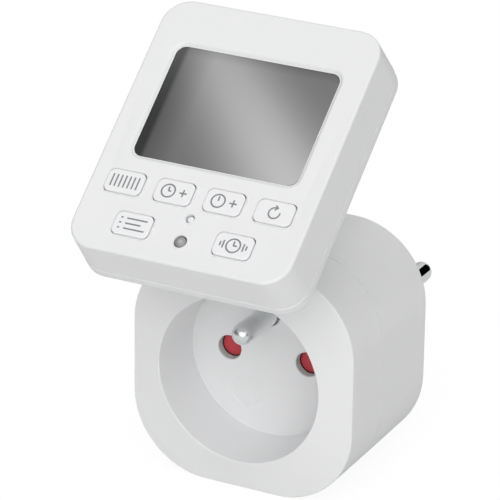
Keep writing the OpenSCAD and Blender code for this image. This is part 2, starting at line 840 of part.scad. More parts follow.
module power_board() color(board_green) difference() {
    middle = (board_high - board_low) / 2;
    slab_y(board_front, board_back)
        translate([0, middle]) outline(board_w, board_high + board_low, board_corner);
    screw_places() rod_y(0, 0, board_front - 1, board_back + 1, pillar_r + 2 * clear_gap);
    for (x = [-hole_x, hole_x])
        rod_y(x, 0, board_front - 1, board_back + 1, pin_shank_r + fit);
    for (side = [-1, 1])
        rod_y(side * board_screw_x, board_screw_z, board_front - 1, board_back + 1,
            board_screw_r + fit);
}

// Block that stands on the front of the power board
module on_board(x, z, w, h, depth) {
    box([x - w / 2, board_front - depth, z - h / 2], [x + w / 2, board_front, z + h / 2]);
}

module relay() color("#2E6FB0")
    on_board(0, relay_z, relay_w, relay_h, relay_depth);

module film_capacitor() color("#C9A227")
    on_board(film_cap_x, film_cap_z, film_cap_t, film_cap_len, film_cap_depth);

module electrolytic_capacitor() color(black)
    rod_y(elco_at[0], elco_at[1], board_front - elco_len, board_front, elco_r);

module varistor() color("#2B5FA8")
    translate([varistor_at[0], board_front - varistor_r, varistor_at[1] - varistor_t / 2])
        cylinder(r = varistor_r, h = varistor_t);

module fuse() color("#B9BDB0")
    translate([fuse_at[0] - fuse_len / 2, board_front - fuse_r, fuse_at[1]])
        rotate([0, 90, 0]) cylinder(r = fuse_r, h = fuse_len);

module lower_cable_header() color(white)
    on_board(header_at[0], header_at[1], header_size[0], header_size[1], header_size[2]);

module lower_signal_cable() color("#8E9092")
    wire([
        [header_at[0], board_front - header_size[2], header_at[1]],
        [header_at[0], board_front - header_size[2] - cable_bend, header_at[1]],
        [header_at[0] / 2, channel_foot[1], strap_z + clip_t + cable_bend],
        channel_foot,
        cable_end
    ], cable_r);

// ---------------------------------------------------------------- screws

// Screw along Y whose head lies behind y and whose shank runs forwards
module screw_y(x, z, y, r, len, head_r, head_t) {
    rod_y(x, z, y - len, y, r);
    difference() {
        rod_y(x, z, y, y + head_t, head_r);
        for (turn = [0, 90])
            translate([x, y + head_t, z]) rotate([0, turn, 0])
                cube([1.3 * head_r, head_t, 0.22 * head_r], center = true);
    }
}

module housing_screws() color(metal)
    screw_places() screw_y(0, 0, well_y, screw_r, screw_len, screw_head_r, screw_head_t);

module block_screws() color(metal)
    for (p = lugs)
        screw_y(p[0], p[1], block_y + lug_t, lug_screw_r, lug_t + lug_screw_bite,
            lug_screw_head_r, lug_screw_head_t);

module board_screws() color(metal)
    for (side = [-1, 1]) translate([side * board_screw_x, board_front, board_screw_z])
        mirror([0, 1, 0]) screw_y(0, 0, 0, board_screw_r, board_t,
            board_screw_head_r, board_screw_head_t);

// ------------------------------------------------------------------ neck

module neck() color(white) {
    centre = [pivot[1], pivot[2]];
    front_foot = [foot_front, top_z];
    back_foot = [foot_back, top_z];
    difference() {
        union() {
            slab_x(-neck_w / 2, neck_w / 2) {
                polygon([
                    [foot_front, foot_flange_top], front_foot,
                    touch_point(front_foot, centre, knuckle_r, 1), centre,
                    touch_point(back_foot, centre, knuckle_r, -1),
                    back_foot, [foot_back, foot_flange_top]
                ]);
            }
            rod_hinge(-neck_w / 2, neck_w / 2, knuckle_r);
            box([-neck_w / 2 - foot_flange_w, foot_front, foot_flange_top - foot_flange_t],
                [neck_w / 2 + foot_flange_w, foot_back, foot_flange_top]);
        }
        rod_hinge(-neck_w, neck_w, hinge_pin_r + running_fit);
        translate(pivot)
            rotate([0, acos(channel[2] / norm(channel)), atan2(channel[1], channel[0])])
                cylinder(r = channel_r, h = 2 * norm(channel));
    }
}

// ------------------------------------------------------------------ head

module window_place() { translate([0, window_up, 0]) children(); }

module head_screw_places() {
    for (x = [-1, 1], y = [-1, 1])
        translate([x * head_screw_x, y * head_screw_y, 0]) children();
}

module key_places() {
    for (i = [-1.5, -0.5, 0.5, 1.5]) translate([i * key_pitch, key_top, 0]) children();
    for (side = [-1, 1]) translate([side * key_low_x, key_low, 0]) children();
}

module head_front_shell() color(white) in_head() difference() {
    union() {
        difference() {
            translate([0, 0, -head_seam])
                soft_block(head_back_w, head_h, seam_edge, head_w, head_h, head_edge,
                    head_corner, head_seam);
            slab_n(-head_seam - 1, -head_wall)
                outline(head_inner_w, head_inner_h, head_inner_corner);
        }
        head_screw_places()
            translate([0, 0, -head_seam])
                cylinder(r = head_boss_r, h = head_seam - head_wall / 2);
    }
    window_place() slab_n(-head_wall - 1, 1) outline(window_w, window_h, window_corner);
    window_place() hull() {
        slab_n(-window_inset, -window_inset + 0.02) outline(window_w, window_h, window_corner);
        slab_n(0, 0.02)
            outline(window_w + 2 * window_bevel, window_h + 2 * window_bevel,
                window_corner + window_bevel);
    }
    key_places() slab_n(-head_wall - 1, 1)
        outline(key_w + 2 * key_gap, key_h + 2 * key_gap, key_corner + key_gap);
    translate([0, -reset_drop, -head_wall - 1])
        cylinder(r = reset_r + key_gap, h = head_wall + 2);
    translate([0, -led_drop, -head_wall - 1]) cylinder(r = led_r + fit, h = head_wall + 2);
    head_screw_places() translate([0, 0, -head_seam - 1])
        cylinder(r = head_screw_r + running_fit, h = head_screw_len + 1);
}

module head_back_cover() color(white) in_head() difference() {
    union() {
        difference() {
            translate([0, 0, -head_d])
                soft_block(head_back_w, head_h, head_back_edge, head_back_w, head_h,
                    seam_edge, head_corner, head_d - head_seam);
            difference() {
                slab_n(back_inner, 0)
                    outline(head_inner_w, head_inner_h, head_inner_corner);
                head_screw_places() translate([0, 0, -head_d])
                    cylinder(r = head_boss_r, h = head_d - head_seam);
            }
        }
        for (side = [-1, 1]) scale([side, 1, 1]) ear();
    }
    head_screw_places() translate([0, 0, -head_d - 1])
        cylinder(r = head_screw_r + fit, h = head_d);
    head_screw_places() translate([0, 0, -head_d - 1])
        cylinder(r = head_screw_head_r + fit, h = head_screw_head_t + 1);
    translate([-2 * neck_w, hinge_up, -hinge_n]) rotate([0, 90, 0])
        cylinder(r = hinge_pin_r + running_fit, h = 4 * neck_w);
    translate([cable_side, hinge_up, -hinge_n]) cylinder(r = cable_hole_r, h = hinge_n);
}

// Ear on the head's back that holds the hinge pin
module ear() {
    centre = [0, -hinge_n];
    low_foot = [-knuckle_r - ear_spread, -head_d];
    high_foot = [knuckle_r + ear_spread, -head_d];
    inside = [0, head_wall / 2];
    translate([ear_in, hinge_up, 0]) rotate([90, 0, 90]) linear_extrude(ear_w) {
        translate(centre) circle(knuckle_r);
        polygon([
            low_foot + inside, low_foot, touch_point(low_foot, centre, knuckle_r, -1),
            centre, touch_point(high_foot, centre, knuckle_r, 1),
            high_foot, high_foot + inside
        ]);
    }
}

module display_pane() color("#8B9296") in_head() window_place() {
    slab_n(-head_wall - 0.01, -window_inset) outline(pane_w, pane_h, window_corner);
    slab_n(pane_back, -head_wall)
        outline(window_w + 2 * pane_rim, window_h + 2 * pane_rim, window_corner);
}

module lcd_frame() color(white) in_head() window_place() difference() {
    slab_n(control_front, pane_back) outline(frame_w, frame_h, 1);
    slab_n(control_front - 1, 0)
        square([lcd_w + 2 * fit, lcd_h + 2 * fit], center = true);
}

module lcd_panel() color("#8C9591") in_head() window_place()
    slab_n(lcd_front - lcd_t, lcd_front) square([lcd_w, lcd_h], center = true);

module lcd_reflector() color("#D5D9D6") in_head() window_place()
    slab_n(lcd_front - lcd_t - reflector_t, lcd_front - lcd_t)
        square([lcd_w - 2, lcd_h - 4 * zebra_w], center = true);

// Conductive rubber strips between the display glass and the board
module zebra_strips() color(black) in_head() window_place()
    for (side = [-1, 1]) translate([0, side * (lcd_h / 2 - zebra_w), 0])
        slab_n(control_front, lcd_front - lcd_t) square([lcd_w - 2, zebra_w], center = true);

module control_board() color(board_green) in_head() difference() {
    slab_n(control_back, control_front)
        outline(head_inner_w - 2 * clear_gap, head_inner_h - 2 * clear_gap,
            head_inner_corner);
    head_screw_places() translate([0, 0, control_back - 1])
        cylinder(r = head_boss_r + clear_gap, h = control_t + 2);
    for (x = [-1, 1], y = [-1, 1])
        translate([x * head_inner_w / 2, y * head_inner_h / 2, control_back - 1])
            cube([2 * head_screw_in, 2 * head_screw_in, head_d], center = true);
}

module controller_chip() color(black) in_head()
    translate([chip_at[0], chip_at[1], control_back - chip_t]) linear_extrude(chip_t)
        square([chip_w, chip_w], center = true);

module backup_battery() color(metal) in_head()
    translate([battery_at[0], battery_at[1], control_back - battery_t])
        cylinder(r = battery_r, h = battery_t);

module quartz_crystal() color(metal) in_head()
    translate([crystal_at[0], crystal_at[1], control_back - crystal_r]) rotate([0, 90, 0])
        cylinder(r = crystal_r, h = crystal_len);

module upper_cable_header() color(white) in_head()
    translate([head_header_at[0], head_header_at[1], control_back - head_header_size[2]])
        linear_extrude(head_header_size[2])
            square([head_header_size[0], head_header_size[1]], center = true);

module upper_signal_cable() color("#8E9092") in_head() {
    run = (back_inner + control_back) / 2;
    plug_end = head_header_at[1] + head_header_size[1] / 2;
    wire([
        [0, hinge_up, -hinge_n],
        [cable_side, hinge_up, -hinge_n],
        [cable_side, hinge_up, run],
        [head_header_at[0], plug_end + 0.4 * cable_bend, run],
        [head_header_at[0], plug_end, run]
    ], cable_r);
}

// Rubber mat with a dome under each key and one under the reset button
module keypad_mat() color("#B9BCC0") in_head() {
    mat_top = key_top + key_h / 2 + mat_edge;
    mat_low = -head_screw_y + head_boss_r + mat_edge;
    difference() {
        union() {
            slab_n(control_front, control_front + mat_t)
                polygon([
                    [-mat_half, mat_low], [mat_half, mat_low],
                    [mat_half, mat_top], [-mat_half, mat_top]
                ]);
            slab_n(control_front, dome_top) key_places() circle(dome_r);
            slab_n(control_front, dome_top) translate([0, -reset_drop])
                circle(reset_dome_r);
        }
        translate([0, -led_drop, control_front - 1])
            cylinder(r = led_r + mat_edge, h = mat_t + 2);
    }
}

module indicator_lamp() color("#9A9C9E") in_head() {
    translate([0, -led_drop, control_front]) cylinder(r = led_r, h = -control_front);
    translate([0, -led_drop, control_front])
        cylinder(r = led_r + lamp_flange, h = lamp_flange_t);
}

// Key cap with a flange behind the face and a stem over its dome
module key(x, y) color(white) in_head() translate([x, y, 0]) {
    flange_w = key_w + 2 * key_gap + 2 * key_flange;
    flange_h = key_h + 2 * key_gap + 2 * key_flange;
    flange_top = -head_wall - seat_gap;
    translate([0, 0, flange_top - key_flange_t])
        soft_block(key_w, key_h, seam_edge, key_w, key_h, key_edge, key_corner,
            key_proud - flange_top + key_flange_t);
    slab_n(flange_top - key_flange_t, flange_top) square([flange_w, flange_h], center = true);
    slab_n(stem_end, flange_top - key_flange_t / 2) circle(stem_r);
}

module key_day() { key(-1.5 * key_pitch, key_top); }
module key_hour() { key(-0.5 * key_pitch, key_top); }
module key_minute() { key(0.5 * key_pitch, key_top); }
module key_cycle() { key(1.5 * key_pitch, key_top); }
module key_program() { key(-key_low_x, key_low); }
module key_clock() { key(key_low_x, key_low); }

module reset_button() color(white) in_head() translate([0, -reset_drop, 0]) {
    slab_n(stem_end, -reset_inset) circle(reset_r);
    slab_n(-head_wall - seat_gap - key_flange_t, -head_wall - seat_gap)
        circle(reset_r + 2 * key_gap);
}

// Hollow pin: a slot lets the cable in and a side hole lets it out
module hinge_pin() color(metal) in_head()
    translate([0, hinge_up, -hinge_n]) difference() {
        rotate([0, 90, 0]) translate([0, 0, -pin_half])
            cylinder(r = hinge_pin_r, h = 2 * pin_half);
        rotate([0, 90, 0]) translate([0, 0, -pin_half - 1])
            cylinder(r = hinge_pin_r - hinge_pin_wall, h = 2 * pin_half + 2);
        rotate([head_tilt - 90 - slot_turn, 0, 0])
            box([-slot_half, slot_edge, -2 * hinge_pin_r],
                [slot_half, 2 * hinge_pin_r, 2 * hinge_pin_r]);
        translate([cable_side, 0, 0]) cylinder(r = cable_hole_r, h = 2 * hinge_pin_r);
    }

module friction_washers() color("#5A5D60")
    for (side = [-1, 1]) scale([side, 1, 1]) difference() {
        rod_hinge(neck_w / 2 + seat_gap, neck_w / 2 + seat_gap + washer_t,
            knuckle_r - seat_gap);
        rod_hinge(0, neck_w, hinge_pin_r + running_fit);
    }

module hinge_caps() color(white)
    for (side = [-1, 1]) scale([side, 1, 1]) {
        rod_hinge(ear_out, ear_out + cap_t, cap_r);
        rod_hinge(ear_out - cap_plug, ear_out, hinge_pin_r - hinge_pin_wall - running_fit);
    }

module head_screws() color(metal) in_head() head_screw_places() difference() {
    union() {
        translate([0, 0, -head_d]) cylinder(r = head_screw_r, h = head_screw_len);
        translate([0, 0, -head_d]) cylinder(r = head_screw_head_r, h = head_screw_head_t);
    }
    for (turn = [0, 90]) translate([0, 0, -head_d]) rotate([0, 0, turn])
        cube([1.3 * head_screw_head_r, 0.22 * head_screw_head_r, head_screw_head_t],
            center = true);
}

front_housing();
rear_housing();
plug_boss();
neck();
earth_pin();
earth_nut();
plug_pin_left();
plug_pin_right();
earth_clip_top();
earth_clip_bottom();
earth_sleeve();
earth_strap();
contact_block();
contact_left();
contact_right();
shutter();
shutter_spring();
power_board();
relay();
film_capacitor();
electrolytic_capacitor();
varistor();
fuse();
lower_cable_header();
lower_signal_cable();
housing_screws();
block_screws();
board_screws();
head_front_shell();
head_back_cover();
display_pane();
lcd_frame();
lcd_panel();
lcd_reflector();
zebra_strips();
control_board();
controller_chip();
backup_battery();
quartz_crystal();
upper_cable_header();
upper_signal_cable();
keypad_mat();
indicator_lamp();
key_day();
key_hour();
key_minute();
key_cycle();
key_program();
key_clock();
reset_button();
hinge_pin();
friction_washers();
hinge_caps();
head_screws();
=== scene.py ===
"""Plug-in timer switch.

A socket housing with a plug on its back, and a display head that tilts on a hinged neck.
"""

import json
import math

import bmesh
import bpy
from bpy.props import FloatProperty, FloatVectorProperty, PointerProperty
from bpy.types import Operator, Panel, PropertyGroup
from mathutils import Matrix, Vector
from mathutils.geometry import delaunay_2d_cdt


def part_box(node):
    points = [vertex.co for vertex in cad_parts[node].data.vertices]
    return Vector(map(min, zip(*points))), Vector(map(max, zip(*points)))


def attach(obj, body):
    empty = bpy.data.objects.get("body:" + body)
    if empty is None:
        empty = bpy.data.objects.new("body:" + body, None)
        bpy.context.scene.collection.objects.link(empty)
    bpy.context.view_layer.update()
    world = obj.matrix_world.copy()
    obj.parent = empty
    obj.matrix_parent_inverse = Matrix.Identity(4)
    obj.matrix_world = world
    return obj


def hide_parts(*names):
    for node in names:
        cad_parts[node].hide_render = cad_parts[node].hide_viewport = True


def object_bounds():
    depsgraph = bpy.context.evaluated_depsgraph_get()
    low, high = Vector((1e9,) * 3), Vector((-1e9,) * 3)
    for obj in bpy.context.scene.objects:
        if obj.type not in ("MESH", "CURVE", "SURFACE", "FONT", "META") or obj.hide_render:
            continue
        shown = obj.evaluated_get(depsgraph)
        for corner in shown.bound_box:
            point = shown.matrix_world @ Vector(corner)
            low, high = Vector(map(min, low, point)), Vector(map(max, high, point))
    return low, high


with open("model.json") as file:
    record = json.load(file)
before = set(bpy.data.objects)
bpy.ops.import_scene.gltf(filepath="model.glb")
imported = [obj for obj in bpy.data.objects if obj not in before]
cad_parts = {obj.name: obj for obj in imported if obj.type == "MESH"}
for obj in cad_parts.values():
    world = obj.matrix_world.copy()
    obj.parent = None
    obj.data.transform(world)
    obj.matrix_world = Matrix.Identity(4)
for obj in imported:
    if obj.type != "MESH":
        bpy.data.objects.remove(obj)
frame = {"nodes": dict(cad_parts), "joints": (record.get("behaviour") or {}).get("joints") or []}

bl_info = {
    "name": "Plug-in timer switch",
    "version": (1, 0, 0),
    "blender": (4, 5, 0),
    "location": "3D View > Sidebar > Timer",
    "description": "Builds a plug-in timer switch with a tilting display head",
    "category": "Object",
}

CAD_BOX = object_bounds()
JOINTS = {joint["name"]: joint for joint in frame["joints"]}
HOUSING_LOW, HOUSING_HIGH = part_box("front_housing")
REAR_LOW, REAR_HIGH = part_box("rear_housing")
PIVOT = Vector(JOINTS["head_tilt"]["pos_m"])
PRESS = Vector(JOINTS["key_day_press"]["axis"])

HEAD_DEPTH = 0.0134
HINGE_UP = 0.002
HINGE_STANDOFF = 0.0054
FIT = 0.00015  # gap round a fitted piece
CHAMFER = 0.0002  # small edge of a well, a seat or a pad
SEAM_BEVEL = 0.00022  # bevel of the front housing at the seam
FLOOR_EDGE = 0.00015  # rounding between the recess's wall and floor
HOLE_EDGE = 0.00012  # chamfer of a contact hole
LIP = 0.00025  # lip of a hole in the head's face
MARK_RING = (0.0035, 0.00038, 0.00008)  # radius, width and depth of the floor's ring
MARK_RING_AT = (-0.0052, -0.0096)
KEY_FLANGE = -0.0019  # how deep a key's flange lies
KEY_FLANGE_SHEET = 0.0007

# The CAD nodes that stay as they are, by finish.
NODE_FINISHES = {
    "white": "contact_block lcd_frame lower_cable_header upper_cable_header",
    # The shutter takes a darker copy of its red: painted shade in the gaps round the red pads.
    "painted_shade_red": "shutter",
    "steel": "earth_nut hinge_pin shutter_spring backup_battery quartz_crystal block_screws "
             "board_screws",
    "brass": "earth_sleeve earth_strap contact_left contact_right",
    "board": "power_board control_board",
    "relay": "relay",
    "yellow": "film_capacitor",
    "blue": "varistor",
    "black": "electrolytic_capacitor controller_chip zebra_strips friction_washers",
    "ceramic": "fuse",
    "cable": "lower_signal_cable upper_signal_cable",
    "glass": "display_pane",
    "lcd": "lcd_panel",
    "foil": "lcd_reflector",
    "rubber": "keypad_mat",
}


# ---------------------------------------------------------------- sizes


def length(name, default, description):
    """A length that the sidebar shows with its unit."""
    return FloatProperty(
        name=name, description=description, default=default, min=0, unit="LENGTH", precision=5
    )


def colour(name, default, description):
    """A colour that the sidebar shows as a swatch."""
    return FloatVectorProperty(
        name=name, description=description, default=default, size=3, min=0, max=1, subtype="COLOR"
    )


def share(name, default, description):
    """A number from 0 to 1."""
    return FloatProperty(name=name, description=description, default=default, min=0, max=1)


def number(name, default, description):
    """A plain number."""
    return FloatProperty(name=name, description=description, default=default)


def angle(name, degrees, description):
    """An angle, which the sidebar shows in degrees."""
    return FloatProperty(
        name=name, description=description, default=math.radians(degrees), subtype="ANGLE"
    )


def vector(name, default, description, subtype):
    """Three numbers, such as a place or a direction."""
    return FloatVectorProperty(
        name=name, description=description, default=default, subtype=subtype
    )


class TIMER_PG_body(PropertyGroup):
    """Sizes of the socket housing"""

    width: length("Width", HOUSING_HIGH.x - HOUSING_LOW.x, "Width of the housings")
    height: length("Height", HOUSING_HIGH.z - HOUSING_LOW.z, "Height of the housings")
    seam: length("Seam", REAR_LOW.y - HOUSING_LOW.y, "Depth of the front housing")
    depth: length("Depth", REAR_HIGH.y - HOUSING_LOW.y, "Depth of both housings")
    corner: length("Corner", 0.018, "Radius of the four corners")
    draft: length("Draft", 0.0001, "Narrowing of each side towards the back")
    wall: length("Wall", 0.0018, "Wall thickness")
    crown: length("Crown", 0.002, "How far the front falls back from the recess to its edge")
    front_edge: length("Front edge", 0.0004, "Rounding of the front edge")
    back_edge: length("Back edge", 0.002, "Rounding of the back edge")
    recess: length("Recess", 0.0192, "Radius of the recess at its mouth")
    recess_floor: length("Recess floor", 0.0187, "Radius of the recess at its floor")
    recess_depth: length("Recess depth", 0.0145, "Depth of the recess")
    recess_lip: length("Recess lip", 0.0003, "Rounding of the recess mouth")
    floor: length("Floor", 0.002, "Thickness of the recess floor")
    pad: length("Pad", 0.0026, "Radius of the pad on each wing of the shutter")
    # The liner is a thin grey sheet on each contact hole's wall that paints the hole's shade, as
    # the real hole has no such part.
    shade_liner: length("Bush", 0.00006, "Thickness of the bush in a contact hole")
    pitch: length("Pitch", 0.019, "Distance between the two contact holes")
    hole: length("Contact hole", 0.00285, "Radius of a contact hole")
    pin_up: length("Earth pin up", 0.01, "Height of the earth pin above the contact holes")
    pin_seat: length("Pin seat", 0.00275, "Radius of the hole round the earth pin's seat")
    plug_seat: length("Plug seat", 0.01865, "Radius of the opening round the plug")
    screw_at: length("Screw place", 0.0165, "Distance of the housing screws from the middle")
    well: length("Screw well", 0.00255, "Radius of a screw well")
    well_depth: length("Well depth", 0.012, "Depth of a screw well")
    pillar: length("Pillar", 0.00355, "Outer radius of a screw pillar")
    screw_hole: length("Screw hole", 0.00145, "Radius of a screw hole")


class TIMER_PG_plug(PropertyGroup):
    """Sizes of the plug"""

    radius: length("Radius", 0.0185, "Radius of the round plug")
    height: length("Height", -REAR_HIGH.y, "Height of the plug behind the body")
    wall: length("Wall", 0.002, "Wall of the plug's tube")
    face: length("End face", 0.0025, "Thickness of the end face")
    edge: length("Edge", 0.0009, "Rounding of the end face")
    flange: length("Flange", 0.0201, "Outer radius of the clamped flange")
    flange_sheet: length("Flange thickness", 0.0018, "Thickness of the clamped flange")
    pin_seat: length("Pin seat", 0.00275, "Radius of the hole round a pin's seat")
    pin: length("Pin", 0.0024, "Radius of a pin")
    pin_length: length("Pin length", 0.019, "Length of a plug pin")
    root_groove: length("Root groove", 0.0016, "Depth of the groove round the earth pin's root")
    earth_length: length("Earth pin", 0.0146, "Length of the earth pin from the recess floor")
    guide: length("Guide", 0.0054, "Width of a guide groove")
    guide_depth: length("Guide depth", 0.0014, "Depth of a guide groove")
    clip: length("Clip", 0.0064, "Width of an earth clip")
    clip_sheet: length("Clip sheet", 0.0008, "Sheet thickness of an earth clip")
    clip_foot: length("Clip foot", 0.0035, "Distance of an earth clip's foot from the body")
    clip_bow: length("Clip bow", 0.0008, "How far an earth clip bows out")
    clip_bend: length("Clip bend", 0.0005, "Radius of an earth clip's bends")
    pocket: length("Pocket", 0.0022, "Depth of the pocket under an earth clip")
    aperture: length("Aperture", 0.0031, "Radius of the earth aperture")
    tube_wall: length("Tube wall", 0.0012, "Wall of its tube, and the tube's gap to the body")


class TIMER_PG_head(PropertyGroup):
    """Sizes of the display head"""

    width: length("Width", 0.0512, "Width at the face")
    seam_width: length("Seam width", 0.0525, "Width at the seam")
    height: length("Height", 0.0614, "Height of the face")
    depth: length("Depth", HEAD_DEPTH, "Depth from face to back")
    seam: length("Seam", 0.0103, "Depth of the front shell")
    seam_edge: length("Seam edge", 0.0003, "Bevel of the back cover's edge at the seam")
    cover_slip: length("Cover slip", 0.00012, "How far the back cover sits down")
    corner: length("Corner", 0.0061, "Radius of the four corners")
    edge: length("Edge", 0.0006, "Rounding of the face's edge")
    back_edge: length("Back edge", 0.0011, "Rounding of the back's edge")
    wall: length("Wall", 0.0018, "Wall thickness")
    window_width: length("Window width", 0.0388, "Width of the display window")
    window_height: length("Window height", 0.0278, "Height of the display window")
    window_up: length("Window up", 0.0061, "Height of the window's middle above the face's")
    window_corner: length("Window corner", 0.0024, "Corner radius of the window")
    window_inset: length("Window inset", 0.0006, "Depth of the pane below the face")
    window_lap: length("Window lap", 0.0002, "How far the face laps the pane")
    window_bevel: length("Window bevel", 0.0009, "Width of the slope round the window")
    reset_drop: length("Reset drop", 0.0196, "Drop of the reset button below the middle")
    reset: length("Reset button", 0.00075, "Radius of the reset button")
    lamp_drop: length("Lamp drop", 0.0251, "Drop of the indicator lamp below the middle")
    lamp: length("Lamp", 0.0013, "Radius of the indicator lamp")
    screw_in: length("Screw inset", 0.0046, "Distance of the back's screws from the side walls")
    screw_head: length("Screw head", 0.0019, "Radius of the back's screw heads")
    screw_depth: length("Screw depth", 0.0012, "Depth of the back's screw wells")
    screw_hole: length("Screw hole", 0.00115, "Radius of the back's screw holes")


class TIMER_PG_keys(PropertyGroup):
    """Sizes of the keys"""

    width: length("Width", 0.0086, "Width of a key")
    height: length("Height", 0.0054, "Height of a key")
    corner: length("Corner", 0.0014, "Corner radius of a key")
    pitch: length("Pitch", 0.0116, "Distance between the upper keys")
    row_1: length("Upper row", 0.0145, "Drop of the upper row below the middle")
    row_2: length("Lower row", 0.0237, "Drop of the lower row below the middle")
    row_2_at: length("Lower keys", 0.0117, "Distance of the lower keys from the middle line")
    gap: length("Gap", 0.0001, "Gap round a key")
    sag: length("Sag", 0.00007, "How far a key sits to the left in its hole")
    proud: length("Proud", 0.0003, "Height of a key above the face")
    edge: length("Edge", 0.0003, "Rounding of a key's edge")
    flange: length("Flange", 0.0007, "How far a key's flange reaches past the key")
    print_width: length("Print", 0.00036, "Line width of the printed signs")
    print_rise: length("Print rise", 0.00003, "Thickness of the printed lines")


class TIMER_PG_hinge(PropertyGroup):
    """Sizes of the neck and its hinge"""

    width: length("Neck width", 0.016, "Width of the neck")
    knuckle: length("Knuckle", 0.0048, "Outer radius of the knuckles")
    foot: length("Foot", 0.022, "Length of the neck's foot")
    setback: length("Setback", 0.0046, "Distance of the foot behind the front face")
    washer: length("Washer", 0.0008, "Thickness of a friction washer")
    ear: length("Ear", 0.0055, "Width of a hinge ear")
    ear_spread: length("Ear spread", 0.0024, "How far an ear's foot reaches past its knuckle")
    standoff: length("Standoff", HINGE_STANDOFF, "Distance of the hinge behind the head's back")
    up: length("Up", HINGE_UP, "Height of the hinge above the head's middle")
    cap: length("Cap", 0.0039, "Radius of a hinge cap")
    cap_sheet: length("Cap thickness", 0.0008, "Thickness of a hinge cap")
    cap_edge: length("Cap edge", 0.0003, "Rounding of a hinge cap")
    flange: length("Neck flange", 0.0022, "Thickness of the neck inside the housings")
    edge: length("Edge", 0.0006, "Rounding of the neck's and ears' edges")


class TIMER_PG_finish(PropertyGroup):
    """Colours and gloss"""

    white: colour("White", (0.822, 0.824, 0.83), "Colour of the housings")
    key: colour("Keys", (0.85, 0.85, 0.86), "Colour of the keys")
    red: colour("Red", (0.60, 0.056, 0.075), "Colour of the shutter")
    ink: colour("Print", (0.23, 0.235, 0.24), "Colour of the printed signs")
    lamp: colour("Lamp", (0.25, 0.25, 0.255), "Colour of the indicator lamp")
    glass_dark: share("Display", 0.145, "Grey of the display away from its light band")
    # The display's lighter band is a painted reflection: its strength, place, slant and width
    # follow.
    painted_reflection_gain: share("Light band", 0.285, "How much lighter the band across the display is")
    painted_reflection_at: number("Band place", 0.21, "Where the band crosses the display")
    painted_reflection_slant: number("Band slant", 0.73, "Slant of the band")
    painted_reflection_width: number("Band width", 0.68, "Width of the band")
    nickel: colour("Nickel", (0.80, 0.82, 0.82), "Colour of the earth pin")
    chrome: colour("Chrome", (0.8, 0.81, 0.82), "Colour of the plug pins")
    gloss: share("Roughness", 0.36, "Roughness of the white plastic")


class TIMER_PG_stage(PropertyGroup):
    """Light and camera"""

    ambient: number("Ambient", 0.155, "Strength of the even light")
    top_light: number("Top light", 0.86, "Strength of the soft light from above")
    back_light: number("Back light", 0.48, "Strength of the soft light from behind")
    rear_fill: number("Rear fill", 0.15, "Strength of the broad light behind, on the left")
    softbox_light: number("Front light", 3.0, "Strength of the soft light in front")
    softbox_focus: number("Front focus", 8.0, "How closely the front light is gathered")
    softbox: vector("Front side", (0.335, -0.79, 0.47), "Where the front light comes from",
                    "DIRECTION")
    lamp_power: number("Lamp power", 0.29, "Power of the square lamp")
    lamp_place: vector("Lamp place", (-0.35, -0.9, 0.95), "Where the square lamp hangs",
                       "TRANSLATION")
    card_place: vector("Card place", (0.21, 0.42, 0.16), "Where the black card stands",
                       "TRANSLATION")
    card_size: length("Card size", 0.34, "Side of the black card")
    floor_tone: number("Floor tone", 0.82, "Grey of the floor")
    floor_glow: number("Floor glow", 0.86, "Share of plain white that the camera sees there")
    focal: number("Focal length", 256.3, "The camera's focal length in millimetres")
    azimuth: angle("Azimuth", 27.156, "Turn of the camera round the object")
    elevation: angle("Elevation", 22.761, "Height of the camera above the horizon")
    roll: angle("Roll", 0.758, "Roll of the camera")
    place: vector("Place", (0.31855, -0.67237, 0.32132), "Where the camera stands",
                  "TRANSLATION")


GROUPS = {
    "timer_body": TIMER_PG_body,
    "timer_plug": TIMER_PG_plug,
    "timer_head": TIMER_PG_head,
    "timer_keys": TIMER_PG_keys,
    "timer_hinge": TIMER_PG_hinge,
    "timer_finish": TIMER_PG_finish,
    "timer_stage": TIMER_PG_stage,
}


# ------------------------------------------------------------- node trees


class Field:
    """A node's socket, on which arithmetic adds Math nodes."""

    def __init__(self, graph, socket):
        self.graph = graph
        self.socket = socket

    def maths(self, operation, *values):
        node = self.graph.node("ShaderNodeMath", {"operation": operation}, dict(enumerate(values)))
        return Field(self.graph, node.outputs[0])

    def __neg__(self):
        return self * -1.0

    def clamped(self):
        return self.maths("MINIMUM", self.maths("MAXIMUM", self, 0.0), 1.0)


def arithmetic(operation, reflected=False):
    """A method that adds a Math node to its field and another value, in either order."""
    def method(self, other):
        return self.maths(operation, *((other, self) if reflected else (self, other)))
    return method


for symbol, operation in (("add", "ADD"), ("sub", "SUBTRACT"), ("mul", "MULTIPLY"),
                          ("truediv", "DIVIDE"), ("pow", "POWER")):
    setattr(Field, f"__{symbol}__", arithmetic(operation))
    setattr(Field, f"__r{symbol}__", arithmetic(operation, reflected=True))


